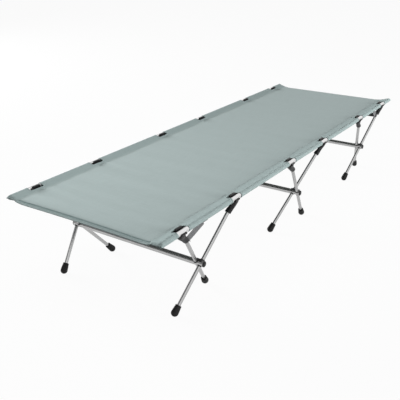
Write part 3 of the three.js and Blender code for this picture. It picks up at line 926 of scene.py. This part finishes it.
ACROSS, SECTION = half_section()
DECK_EDGE = DECK_POINTS - 1
LOOP_START = DECK_POINTS
LOOP_END = LOOP_START + LOOP_POINTS - 1
HALF_CUT = ACROSS[-1]
CUT_DECK = ACROSS[DECK_EDGE]
CUT_LOOP_START = ACROSS[LOOP_START]
CUT_LOOP_END = ACROSS[LOOP_END]
CUT_SEAM_UNDER = ACROSS[LOOP_END + 1]
RISE_CUT = CUT_LOOP_START - CUT_DECK
RISE_SLOPE = (SECTION[LOOP_START, 1] - SECTION[DECK_EDGE, 1]) / RISE_CUT
SLOPE_RUN = (SEAM_INSET - NOTCH_DEPTH) * RISE_CUT / (SEAM_INSET + SECTION[LOOP_START, 0] - POLE_Y)
NOTCH_CUT = (CUT_DECK + SLOPE_RUN, CUT_SEAM_UNDER - SLOPE_RUN)
NOTCH_MIDDLE = sum(NOTCH_CUT) / 2
NOTCH_HALF = (NOTCH_CUT[1] - NOTCH_CUT[0]) / 2


def end_reach(x, y):
    """How far the cloth reaches along the bed at y, at the end that x is nearer to.

    A bowed hem between slanting sleeve ends.
    """
    y = np.abs(y)
    stand_back = np.where(x < 0, FOOT_HEM_BACK, HEAD_HEM_BACK)
    tip = np.where(x < 0, BED_END - FOOT_SLEEVE_BACK, BED_END)
    bow = np.where(x < 0, FOOT_HEM_BOW, HEAD_HEM_BOW)
    hem = BED_END - stand_back - bow * (1 - np.minimum(y / SEAM_Y, 1) ** 2)
    share = np.clip((y - SEAM_Y) / (POLE_RADIUS / 2 + SEAM_INSET), 0, 1)
    slant = BED_END - stand_back + (tip - BED_END + stand_back) * share
    return np.where(y <= SEAM_Y, hem, slant)


def hook_ridge(along, y):
    """A bell-shaped ridge from a hook to the one across, between two hollows, strongest near the hooks."""
    ridge = np.exp(-((along / RIDGE_WIDTH) ** 2))
    hollows = np.exp(-(((np.abs(along) - RIDGE_HOLLOW) / HOLLOW_WIDTH) ** 2))
    return RIDGE_HEIGHT * (ridge - 0.6 * hollows) * (0.3 + 0.7 * (y / SEAM_Y) ** 2)


def notch_puckers(along, away):
    """Cosine folds that fan out from a notch and fade into the deck."""
    fan = along / (FAN_WIDTH + FAN_SPREAD * away)
    folds = np.cos(1.9 * fan) * np.exp(-((fan / 2.3) ** 2))
    return PUCKER_HEIGHT * np.exp(-away / PUCKER_RUN) * folds * smooth(away / PUCKER_START)


def ripple(x, y):
    """Height of the soft waves in the taut deck: bands across the bed, stronger at the foot, with the
    ridges and puckers that start at the hooks."""
    inside = np.sqrt(np.maximum(1 - (np.abs(y) / SEAM_Y) ** 4, 0))
    strength = 0.2 + 0.55 * smooth((0.05 - x) / 0.8)
    waves = sum(
        height * np.sin(2 * math.pi * (x + slant * y) / length + phase)
        for height, slant, length, phase in DECK_WAVES
    )
    height = strength * inside * waves * (0.75 + 0.25 * np.cos(5.2 * y + 3.1 * x))
    away = np.maximum(SEAM_Y - np.abs(y), 0)
    for hook_x in HOOK_X:
        along = x - hook_x - RIDGE_SLANT * y
        height = height + strength * inside * hook_ridge(along, y) + notch_puckers(along, away)
    return height * MM


def stitched_groove(edge):
    """1 along the hem's stitching and less to either side; edge is the distance from the hem's edge."""
    return np.exp(-(((edge - HEM_WIDTH + GROOVE_INSET) / GROOVE_WIDTH) ** 2))


def hem_relief(x, y):
    """Height that the hem adds: a groove at its stitching, a swelling, a rolled edge, and its hanging."""
    edge = end_reach(x, y) - np.abs(x)
    swell = np.maximum(np.sin(math.pi * np.clip(edge / (HEM_WIDTH - SWELL_SHORT), 0, 1)), 0)
    roll = np.exp(-((edge / ROLL_WIDTH) ** 2))
    sewn = HEM_SWELL * swell - GROOVE_DEPTH * stitched_groove(edge) - ROLL_DROP * roll
    curl = CURL_DROP * np.clip(1 - edge / CURL_RUN, 0, 1) ** 2
    fade = 1 - 0.5 * smooth((np.abs(y) - SEAM_Y + CURL_FADE) / CURL_FADE)
    return (sewn - curl * fade) * (np.abs(y) <= SEAM_Y)


def seam_waver(x, side):
    """How far the seam stands out at x: 0.4 at a hook and less away from it, with a sine wave on top."""
    nearest = np.min([np.abs(x - hook_x) for hook_x in HOOK_X], axis=0)
    return 0.4 - smooth(nearest / WAVER_REACH) + 0.3 * np.sin(2 * math.pi * x / WAVER_LENGTH + 2.0 * side)


def sleeve_hollow(x, a, side):
    """Depth to which the cloth between seam and pole pulls in: half a sine wave, above and below."""
    rise = np.clip((a - CUT_DECK) / RISE_CUT, 0, 1)
    back = np.clip((CUT_SEAM_UNDER - a) / (CUT_SEAM_UNDER - CUT_LOOP_END), 0, 1)
    short, long = (2 * math.pi * x / length for length in SLACK_LENGTHS)
    slack = 0.5 + 0.5 * np.sin(short + 1.3 * side) * np.sin(long)
    return (np.sin(math.pi * rise) - np.sin(math.pi * back)) * slack * HOLLOW_DEPTH


def cloth_at(x0, v):
    """Middle surface of the cloth at x0 along and v across its cut."""
    x0, v = np.broadcast_arrays(np.asarray(x0, float), np.asarray(v, float))
    a = np.abs(v)
    side = np.where(v < 0, -1.0, 1.0)
    y = np.interp(a, ACROSS, SECTION[:, 0])
    z = np.interp(a, ACROSS, SECTION[:, 1])
    reach = end_reach(x0, y)
    over = np.maximum(np.abs(x0) - PULL_START, 0)
    pulled = over * (reach - PULL_START) / (BED_END - PULL_START)
    x = np.sign(x0) * (np.minimum(np.abs(x0), PULL_START) + pulled)

    # The sleeve closes to two flat layers at its end, with a few small gathers.
    middle = -LAYER / 2
    close = 1 - np.clip((reach - np.abs(x)) / NOSE, 0, 1)
    full = 1 - close**1.6
    shut = np.maximum(np.abs(z - middle) * full, LAYER / 2)
    z = middle + np.where(z >= middle, shut, -shut)
    gathered = close * smooth((a - CUT_DECK) / SEW_BLEND) * smooth((CUT_SEAM_UNDER - a) / SEW_BLEND)
    z = z + gathered * GATHER_HEIGHT * np.sin(2 * math.pi * y / GATHER_PITCH)
    y = y + gathered * PINCH_OUT

    flat = y <= SEAM_Y + 1e-9
    z = z + np.where(flat, ripple(x, side * y) + hem_relief(x, y), 0)
    kink = np.maximum(SEAM_BLEND - np.abs(a - CUT_DECK), 0)
    z = z + RISE_SLOPE * kink**2 / (4 * SEAM_BLEND) * full
    y = y + SEAM_WAVER * seam_waver(x, side) * np.exp(-(((a - CUT_DECK) / WAVER_SPREAD) ** 2)) * full
    z = z - sleeve_hollow(x, a, side) * full
    return np.stack([x, side * y, POLE_Z + z], -1)


def cloth_normal(x0, v):
    """Unit normal of cloth_at from small steps in both directions; it points up on the deck."""
    step = 0.4 * MM
    along = cloth_at(x0 + step, v) - cloth_at(x0 - step, v)
    across = cloth_at(x0, v + step) - cloth_at(x0, v - step)
    normal = np.cross(along, across)
    return normal / np.maximum(np.linalg.norm(normal, axis=-1, keepdims=True), 1e-12)


def inset_place(end, y, inset):
    """Place along the cut, at the foot (-1) or head (1), that lies inset from the finished edge at y."""
    share = inset / (end_reach(end, y) - PULL_START)
    return end * (BED_END - share * (BED_END - PULL_START))


def notch_pull(x0, v):
    """Moves grid points near a notch so that its rectangular hole gets round corners.

    Outside the hole, a point takes the move of the nearest point of the rectangle's edge, less with distance.
    """
    a = np.abs(v)
    half_x = NOTCH_LENGTH / 2
    move_x, move_v = np.zeros_like(x0), np.zeros_like(a)
    for hook_x in HOOK_X:
        from_x, from_v = x0 - hook_x, a - NOTCH_MIDDLE
        far_x, far_v = np.abs(from_x), np.abs(from_v)
        outside = np.maximum(far_x - half_x, far_v - NOTCH_HALF)
        inward_x = half_x - np.minimum(far_x, half_x)
        inward_v = NOTCH_HALF - np.minimum(far_v, NOTCH_HALF)
        # The turn is 1 at a corner and 0 where the round stretch ends, along either edge.
        on_x_edge = inward_v < inward_x
        turn = 1 - np.clip(np.where(on_x_edge, inward_x, inward_v) / NOTCH_CORNER, 0, 1)
        angle = turn * math.pi / 4
        deep = NOTCH_CORNER * (1 - np.cos(angle))
        slide = NOTCH_CORNER * (np.sin(angle) - turn)
        fade = smooth(1 - outside / NOTCH_FADE) * (outside > -1e-9)
        move_x += np.sign(from_x) * np.where(on_x_edge, slide, -deep) * fade
        move_v += np.sign(from_v) * np.where(on_x_edge, -deep, slide) * fade
    return x0 + move_x, np.where(v < 0, -1.0, 1.0) * (a + move_v)


def stations(marks, coarse, fine, near=FINE_NEAR):
    """Grid lines through every mark: fine steps within near of a mark, coarse steps elsewhere."""
    marks = sorted(marks)
    lines = [marks[0]]
    for low, high in zip(marks[:-1], marks[1:]):
        width = high - low
        if width > 2 * near:
            edge = max(1, round(near / fine))
            middle = max(1, round((width - 2 * near) / coarse))
            lines += list(np.linspace(low, low + near, edge + 1)[1:])
            lines += list(np.linspace(low + near, high - near, middle + 1)[1:])
            lines += list(np.linspace(high - near, high, edge + 1)[1:])
        else:
            lines += list(np.linspace(low, high, max(1, round(width / fine)) + 1)[1:])
    return np.array(lines)


def painted_shade_at(x0, v):
    """Painted shade on the cloth: 0 on the deck, 1 on the sleeves, where it lies double, and most in the
    hems' stitched groove.
    """
    a = np.abs(v)
    sleeve = smooth((a - CUT_DECK + SLEEVE_SHADE_FROM) / SLEEVE_SHADE_BLEND)
    y = np.interp(a, ACROSS, SECTION[:, 0])
    edge = (BED_END - np.abs(x0)) * (end_reach(x0, y) - PULL_START) / (BED_END - PULL_START)
    hem = smooth((HEM_WIDTH + HEM_SHADE_PAST - edge) / HEM_SHADE_BLEND)
    groove = stitched_groove(edge) * (a < CUT_DECK)
    return np.maximum(sleeve, HEM_PAINTED_SHADE * hem) + GROOVE_PAINTED_SHADE * groove


def cloth_grid():
    """Rows along the cut and columns across it, and which quads between them are cloth, not notch."""
    notch_edges = [x + end * NOTCH_LENGTH / 2 for x in HOOK_X for end in (-1, 1)]
    insets = (0, *np.arange(HEM_ROWS_FROM, HEM_ROWS_TO, HEM_STEP), LAST_FINE_ROW)
    hem_marks = [end * (BED_END - inset) for end in (-1, 1) for inset in insets]
    rows = stations([*notch_edges, *hem_marks, 0.0], ROW_STEP, ROW_FINE)
    half = np.concatenate([
        stations([0, CUT_DECK], COLUMN_STEP, COLUMN_FINE)[:-1],
        np.linspace(CUT_DECK, NOTCH_CUT[0], 5)[:-1],
        np.linspace(NOTCH_CUT[0], NOTCH_CUT[1], 23)[:-1],
        np.linspace(NOTCH_CUT[1], CUT_SEAM_UNDER, 4)[:-1],
        np.linspace(CUT_SEAM_UNDER, HALF_CUT, 3),
    ])
    cols = np.concatenate([half[:0:-1], -half])  # from left to right, so that the faces point up and out
    mid_row, mid_col = (rows[1:] + rows[:-1]) / 2, np.abs(cols[1:] + cols[:-1]) / 2
    in_row = np.any([np.abs(mid_row - x) < NOTCH_LENGTH / 2 for x in HOOK_X], axis=0)
    in_col = (mid_col > NOTCH_CUT[0]) & (mid_col < NOTCH_CUT[1])
    return rows, cols, ~(in_row[:, None] & in_col[None, :])


def bed_cloth():
    """Deck and sleeves in one sheet; its underside has a darker finish, painted shade that the tubes below
    show in their reflections.
    """
    rows, cols, keep = cloth_grid()
    x0, v = notch_pull(*np.meshgrid(rows, cols, indexing="ij"))
    # the third place number is the painted shade on the sleeves, hems and grooves
    made = piece(
        "bed_cloth",
        [surface(cloth_at(x0, v), place=np.stack([x0, v, painted_shade_at(x0, v)], -1), keep=keep)],
        CLOTH_FINISH,
        "bed",
        ["bed_fabric"],
        sharp=60,
        closed=False,
    )
    # the underside takes the darker finish of painted shade
    made.data.materials.append(CLOTH_BACK_PAINTED_SHADE)
    wall = thickened(made, CLOTH)
    wall.use_even_offset = False
    wall.material_offset = 1
    return made


cloth = bed_cloth()


# ---------------------------------------------------------------- notch binding
BINDING_WIDTH = 2.6 * MM  # half sizes of the folded tape
BINDING_HEIGHT = 1.0 * MM
BINDING_INSET = 0.8 * MM
BINDING_STEP = 3.2 * MM


def rounded_window(hook_x, step, inset):
    """Outline of a notch in the cut cloth as (along, across) points, set outwards by inset."""
    half_v = NOTCH_HALF + inset
    half_x, radius = NOTCH_LENGTH / 2 + inset, NOTCH_CORNER + inset
    quarter = math.pi / 2
    turns = ((1, 1, 0), (-1, 1, quarter), (-1, -1, 2 * quarter), (1, -1, 3 * quarter))
    outline = np.concatenate([
        arc((way_x * (half_x - radius), way_v * (half_v - radius)), radius, start, start + quarter, 7)
        for way_x, way_v, start in turns
    ])
    outline = np.concatenate([outline, outline[:1]])
    length = travelled(outline)
    spots = np.linspace(0, length[-1], int(length[-1] / step) + 1)[:-1]
    along, across = (np.interp(spots, length, outline[:, i]) for i in (0, 1))
    return np.stack([hook_x + along, NOTCH_MIDDLE + across], -1)


def bound_edge(outline, side):
    """Folded tape sewn round a cut edge: a flat oval carried along the edge, square to the cloth."""
    x0, v = outline[:, 0], side * outline[:, 1]
    centre = cloth_at(x0, v)
    normal = cloth_normal(x0, v)
    ahead = np.roll(centre, -1, axis=0) - np.roll(centre, 1, axis=0)
    ahead /= np.linalg.norm(ahead, axis=1, keepdims=True)
    flat = np.cross(normal, ahead)
    angle = np.linspace(0, 2 * math.pi, 12, endpoint=False)
    a, b = superellipse(BINDING_WIDTH, BINDING_HEIGHT, 0.8, angle)
    points = centre[:, None] + a[:, None] * flat[:, None] + b[:, None] * normal[:, None]
    along, round_way = np.meshgrid(travelled(centre), BINDING_WIDTH * angle, indexing="ij")
    # the tape takes the sleeves' full painted shade
    place = np.stack([along, round_way, np.ones_like(along)], -1)
    return surface(points, wrap=(True, True), place=place)


piece(
    "notch_binding",
    [
        bound_edge(rounded_window(x, BINDING_STEP, BINDING_INSET), way)
        for x in HOOK_X
        for way in SIDES.values()
    ],
    CLOTH_FINISH,
    "bed",
    sharp=80,
)


# ---------------------------------------------------------------- sewing
STITCH_PITCH = 4.0 * MM
STITCH_LENGTH = 3.0 * MM
THREAD_RADIUS = 0.32 * MM
# Rings of a stitch: place along its half length, size against the thread, height over the cloth.
STITCH_RINGS = (
    (-1, 0.15, -0.12 * MM),
    (-0.55, 1, 0.14 * MM),
    (0.55, 1, 0.14 * MM),
    (1, 0.15, -0.12 * MM),
)
SEAM_ROWS = (2.2 * MM, 7 * MM)  # from the seam towards the middle of the bed
SLEEVE_END_ROWS = (3 * MM, 6 * MM)  # from the sleeve's end
HEM_ROWS = (HEM_WIDTH - 2.6 * MM, HEM_WIDTH - 0.6 * MM)
WINDOW_ROW = 5 * MM  # from a notch's edge
WINDOW_STEP = 0.8 * MM
ROW_SHORT = 9 * MM  # the long rows stop this far from the corners
TOP = (1,)  # faces of the cloth that a row shows on
BOTH = (1, -1)


def evenly(start, end, steps):
    """Evenly spaced values from start to end."""
    return start + (end - start) * np.linspace(0, 1, steps)


def stitches(x0, v, faces=BOTH):
    """Short pointed bars lying on the cloth along a line of the cut, evenly spaced.

    Each bar has a tip, two square rings and a tip; its ends dip into the cloth.
    """
    fine = cloth_at(x0, v)
    length = travelled(fine)
    spots = np.arange(STITCH_PITCH / 2, length[-1], STITCH_PITCH)
    along, across = np.interp(spots, length, x0), np.interp(spots, length, v)
    centre, normal = cloth_at(along, across), cloth_normal(along, across)
    before, after = (
        np.stack([np.interp(spots + step, length, fine[:, i]) for i in range(3)], -1)
        for step in (-0.5 * MM, 0.5 * MM)
    )
    ahead = after - before
    ahead /= np.linalg.norm(ahead, axis=1, keepdims=True)
    wide = np.cross(normal, ahead)
    quads = [
        (ring + c, ring + (c + 1) % 4, ring + 4 + (c + 1) % 4, ring + 4 + c)
        for ring in (0, 4, 8)
        for c in range(4)
    ]
    quads += [(3, 2, 1, 0), (12, 13, 14, 15)]
    result = []
    for face in faces:
        base = centre + face * normal * (CLOTH / 2)
        corner_points = []
        for share, size, height in STITCH_RINGS:
            spine = base + ahead * share * STITCH_LENGTH / 2 + face * normal * height
            for a, b in ((1, 0), (0, 1), (-1, 0), (0, -1)):
                corner_points.append(spine + size * THREAD_RADIUS * (a * wide + b * face * normal))
        points = np.stack(corner_points, 1)
        starts = 16 * np.arange(len(points))[:, None, None]
        all_quads = (np.array(quads)[None] + starts).reshape(-1, 4)
        result.append((points.reshape(-1, 3), all_quads.tolist(), np.zeros((points.size // 3, 2))))
    return result


def seam_stitching(way):
    """Rows along one sleeve's seam: on the deck, and on the allowance under it."""
    along = evenly(-BED_END + ROW_SHORT, BED_END - ROW_SHORT, 4000)
    rows = []
    for inset in SEAM_ROWS:
        rows += stitches(along, np.full_like(along, way * (CUT_DECK - inset)), TOP)
        rows += stitches(along, np.full_like(along, way * (HALF_CUT - SEAM_ALLOWANCE + inset)), TOP)
    return rows


def sleeve_stitching(way):
    """Rows across both closed ends of one sleeve, above and below the pole, and round its notches."""
    above = evenly(CUT_DECK + 4 * MM, CUT_LOOP_START + 10 * MM, 200)
    below = evenly(CUT_SEAM_UNDER - 4 * MM, CUT_LOOP_END - 10 * MM, 200)
    rows = []
    for end in (1, -1):
        for inset in SLEEVE_END_ROWS:
            x0 = np.full_like(above, end * (BED_END - inset))
            rows += stitches(x0, way * above)
            rows += stitches(x0, way * below, TOP)
    for x in HOOK_X:
        ring = rounded_window(x, WINDOW_STEP, WINDOW_ROW)
        ring = np.concatenate([ring, ring[:1]])
        rows += stitches(ring[:, 0], way * ring[:, 1], TOP)
    return rows


def hem_stitching(end):
    """Two rows across the bed, through both layers of a hem."""
    across = evenly(-CUT_DECK + ROW_SHORT, CUT_DECK - ROW_SHORT, 2000)
    y = np.interp(np.abs(across), ACROSS, SECTION[:, 0])
    rows = []
    for inset in HEM_ROWS:
        rows += stitches(inset_place(end, y, inset), across)
    return rows


seam_rows = seam_stitching(1) + seam_stitching(-1)
edge_rows = sleeve_stitching(1) + sleeve_stitching(-1) + hem_stitching(1) + hem_stitching(-1)
piece("seam_stitching", seam_rows, THREAD, "bed", sharp=80)
piece("hem_stitching", edge_rows, THREAD, "bed", sharp=80)


# ---------------------------------------------------------------- hems
HEM_TUCK = 2 * MM  # the rolled edge starts this far back on top of the deck
HEM_SHORT = 1 * MM  # a hem ends this far from each seam


def folded_hem(end):
    """Turned-under hem: a layer below the end of the deck that rolls up round its edge.

    Its line across the hem starts above the deck's edge, goes round it and back under it.
    """
    across = evenly(-CUT_DECK + HEM_SHORT, CUT_DECK - HEM_SHORT, 91)
    roll = np.linspace(math.pi / 2, -math.pi / 2, 7)
    back = np.linspace(0, HEM_WIDTH, 9)[1:]
    beyond = np.concatenate([[-HEM_TUCK], LAYER * np.cos(roll), -back])
    raised_by = np.concatenate([[LAYER], LAYER * np.sin(roll), np.full(len(back), -LAYER)])
    y = np.interp(np.abs(across), ACROSS, SECTION[:, 0])
    rows = []
    for out, height in zip(beyond, raised_by):
        row = cloth_at(inset_place(end, y, max(-out, 0)), across)
        row[:, 0] += end * max(out, 0)
        row[:, 2] += height
        rows.append(row)
    turned_way = np.cumsum(np.abs(np.gradient(beyond)))[:, None]
    # the turned-under hem takes the sleeves' full painted shade
    place = np.stack(np.broadcast_arrays(turned_way, across[None, :], 1.0), -1)
    return surface(np.stack(rows), place=place)


for end, end_name in ((-1, "foot"), (1, "head")):
    hem = piece(
        f"end_hem_{end_name}",
        [folded_hem(end)],
        CLOTH_FINISH,
        "bed",
        sharp=60,
        closed=False,
    )
    thickened(hem, 0.9 * CLOTH)


# ---------------------------------------------------------------- end straps
def ribbed_section(width, thick):
    """Webbing's section: both faces are rows of low ribs, the edges are round."""
    t = np.linspace(-1, 1, STRAP_RIBS * 6 + 1)
    rib = np.abs(np.sin(math.pi * STRAP_RIBS * (t + 1) / 2 + math.pi / 2)) ** 0.7
    edge = np.sqrt(np.clip(1 - np.abs(t) ** 26, 0, 1))
    top = np.stack([t * width / 2, (thick / 2 - RIB_DEPTH * rib) * edge], -1)
    return np.concatenate([top, (top * [1, -1])[-2:0:-1]])


def outer_legs(name, inward):
    """The two legs of an end frame that lean towards the bed's end, by side, with their kinds."""
    return {
        side: (kind, leg)
        for (kind, leg_frame, side), leg in LEGS.items()
        if leg_frame == name and (leg["pole"][0] - FRAME_X[name]) * inward < 0
    }


def band_place(kind, leg, inward):
    """Where the band crosses a leg, just below the hook's socket, with the ways down the leg and outwards."""
    down = -leg["up"] * [1, 0, 1]
    down = down / np.linalg.norm(down)
    normal = np.array([-down[2] * inward, 0, down[0] * inward])
    reach = SOCKET_REACH[kind] + STRAP_WIDTH / 2 + GAP
    spot = leg["pole"] - leg["up"] * reach + normal * (LEG_RADIUS + GAP + STRAP / 2)
    return spot, down, normal


def strap_riser(spot, head, down, out):
    """From the corner at the leg up to the sleeve, turning from the band's plane to an upright one."""
    t = np.linspace(0, 1, 28)[:, None]
    run = (head - spot) / np.linalg.norm(head - spot)
    flat = np.array([-run[2], 0, run[0]])
    flat = flat / np.linalg.norm(flat) * math.copysign(1, flat @ down)
    across = down + (flat - down) * smooth(t * RISER_TURN)
    across = across / np.linalg.norm(across, axis=1, keepdims=True)
    return carried(ribbed_section(RISER_WIDTH, STRAP), spot + (head - spot) * t, across, (0.0, -out, 0.0))


def strap_tab(head, inward, out):
    """The riser's top end, folded flat on the sleeve's underside along the bed."""
    tab = head + np.outer(np.linspace(-TAB_BACK, TAB_FORTH, 9), [inward, 0, 0]) - [0, 0, STRAP / 2]
    tab[:, 1] = out * (POLE_Y - TAB_INSET)
    return carried(ribbed_section(TAB_WIDTH, SEWN_STRAP), tab, (0, 1, 0), UP)


def strap_patch(spot, down, normal, out):
    """Corner patch: a doubled square of webbing on the band beside the leg."""
    patch = spot + np.outer(np.linspace(PATCH_START, PATCH_END, 8), [0, -out, 0]) - normal * STRAP
    return carried(ribbed_section(PATCH_WIDTH, SEWN_STRAP), patch, down, normal)


def end_strap(name):
    """Webbing across the end of the bed: a cross band from leg to leg and a riser to each sleeve."""
    inward = -math.copysign(1, FRAME_X[name])
    under = POLE_Z - SLEEVE_RADIUS - CLOTH / 2 - RISER_GAP
    parts, places = [], {}
    for side, (kind, leg) in outer_legs(name, inward).items():
        out = SIDES[side]
        spot, down, normal = band_place(kind, leg, inward)
        head = np.array([spot[0] + inward * STRAP_RUN, out * POLE_Y, under])
        parts.append(strap_riser(spot, head, down, out))
        parts.append(strap_tab(head, inward, out))
        parts.append(strap_patch(spot, down, normal, out))
        places[side] = (spot, down, normal)
    (left, down, normal), (right, _, _) = places["left"], places["right"]
    t = np.linspace(-BAND_PAST, 1 + BAND_PAST, 60)[:, None]
    band = left + (right - left) * t - BAND_SAG * np.sin(math.pi * np.clip(t, 0, 1)) * UP
    parts.append(carried(ribbed_section(STRAP_WIDTH, STRAP), band, down, normal))
    webbing = f"end_strap_webbing_{name}"
    piece(webbing, parts, WEBBING, "bed", [f"end_strap_{name}"], sharp=50)


end_strap("foot")
end_strap("head")


# ---------------------------------------------------------------- stage, light and camera
scene = bpy.context.scene
scene.view_settings.view_transform = "Standard"


def seen_directly(tree, path):
    """1 on rays from the camera, also through glass, and 0 on all others."""
    return math_node(tree, "MAXIMUM", path.outputs["Is Camera Ray"], path.outputs["Is Transmission Ray"])


def floor_finish():
    """White floor for camera, reflections and refractions, keeping a soft shadow."""
    material, tree, shader = new_finish("studio_floor", 0.9)
    shader.inputs["Base Color"].default_value = (FLOOR_TONE, FLOOR_TONE, FLOOR_TONE, 1)
    path = put(tree, "ShaderNodeLightPath")
    seen = math_node(tree, "MULTIPLY", seen_directly(tree, path), FLOOR_WHITE)
    mirrored = math_node(tree, "MULTIPLY", path.outputs["Is Glossy Ray"], FLOOR_MIRRORED)
    share = math_node(tree, "MAXIMUM", seen, mirrored)
    glow = put(tree, "ShaderNodeEmission", Color=(1, 1, 1, 1), Strength=1.0)
    both = put(tree, "ShaderNodeMixShader", Fac=share)
    tree.links.new(shader.outputs[0], both.inputs[1])
    tree.links.new(glow.outputs[0], both.inputs[2])
    tree.links.new(both.outputs[0], tree.nodes["Material Output"].inputs["Surface"])
    return material


def studio_floor():
    """A flat square under the soles."""
    edge = np.linspace(-FLOOR_SIZE / 2, FLOOR_SIZE / 2, 3)
    grid = np.stack(np.meshgrid(edge, edge, [-FLOOR_BELOW], indexing="ij"), -1)[:, :, 0]
    points, faces, _ = surface(grid)
    mesh = bpy.data.meshes.new("floor")
    mesh.from_pydata(points.tolist(), [], faces)
    mesh.materials.append(floor_finish())
    floor = bpy.data.objects.new("floor", mesh)
    scene.collection.objects.link(floor)


def studio_world():
    """A little light from all round, and plain white where the camera sees it.

    Metal shows the studio: white all round, but for the unlit wall beyond the key light.
    """
    world = bpy.data.worlds.new("studio")
    world.use_nodes = True
    scene.world = world
    sky = world.node_tree
    path = put(sky, "ShaderNodeLightPath")
    plain = spread(sky, seen_directly(sky, path), AMBIENT, 1.0, 0.0, 1.0)
    way = put(sky, "ShaderNodeTexCoord").outputs["Generated"]
    height = put(sky, "ShaderNodeSeparateXYZ", Vector=way).outputs["Z"]
    facing = put(sky, "ShaderNodeVectorMath", {"operation": "DOT_PRODUCT"})
    feed(sky, facing.inputs[0], way)
    feed(sky, facing.inputs[1], DARK_WALL_WAY)
    towards = spread(sky, facing.outputs["Value"], 0, 1, 0.0, 0.4)
    above_floor = spread(sky, height, 0, 1, 0.05, 0.14)
    below_top = spread(sky, height, 1, 0, 0.55, 0.75)
    unlit = math_node(sky, "MULTIPLY", math_node(sky, "MULTIPLY", towards, above_floor), below_top)
    mirrored = math_node(sky, "SUBTRACT", 1.0, math_node(sky, "MULTIPLY", unlit, DARK_WALL_DEPTH))
    strength = put(sky, "ShaderNodeMix", Factor=path.outputs["Is Glossy Ray"], A=plain, B=mirrored)
    background = sky.nodes["Background"]
    background.inputs["Color"].default_value = (1, 1, 1, 1)
    feed(sky, background.inputs["Strength"], strength.outputs[0])


def softbox(name, place, target, size, power):
    """A rectangular lamp at place, aimed at target, that metal doesn't show."""
    light = bpy.data.lights.new(name, "AREA")
    light.shape = "RECTANGLE"
    light.size, light.size_y = size
    light.energy = power
    lamp = bpy.data.objects.new(name, light)
    lamp.location = place
    lamp.rotation_mode = "QUATERNION"
    aim = Vector(target) - Vector(place)
    lamp.rotation_quaternion = aim.to_track_quat("-Z", "Y")
    lamp.visible_glossy = False
    scene.collection.objects.link(lamp)


def studio_camera():
    """Camera at its place, looking along its azimuth and elevation and rolled about that line."""
    lens = bpy.data.cameras.new("camera")
    lens.lens = CAMERA_LENS
    lens.sensor_width = 36
    lens.clip_start = 0.05
    lens.clip_end = 100
    camera = bpy.data.objects.new("camera", lens)
    ahead = -Vector((
        math.sin(CAMERA_AZIMUTH) * math.cos(CAMERA_ELEVATION),
        -math.cos(CAMERA_AZIMUTH) * math.cos(CAMERA_ELEVATION),
        math.sin(CAMERA_ELEVATION),
    ))
    camera.location = CAMERA_PLACE
    camera.rotation_mode = "QUATERNION"
    camera.rotation_quaternion = Quaternion(ahead, CAMERA_ROLL) @ ahead.to_track_quat("-Z", "Y")
    scene.collection.objects.link(camera)
    scene.camera = camera


studio_floor()
studio_world()
softbox("key", (-0.2, 5.6, 1.8), (0, 0, 0.3), (3.0, 1.2), 505)
softbox("foot", (-0.95, 0.35, 1.65), (-0.8, 0, 0.3), (1.0, 1.0), 10)
softbox("head", (1.3, -0.9, 1.9), (0.9, 0, 0.3), (1.2, 1.2), 6.5)
softbox("fill", (1.7, -5.4, 1.0), (0, 0, 0.3), (3.4, 1.2), 345)
softbox("near", (0.6, -3.0, 3.2), (0, 0, 0.3), (3.4, 1.2), 25)
studio_camera()
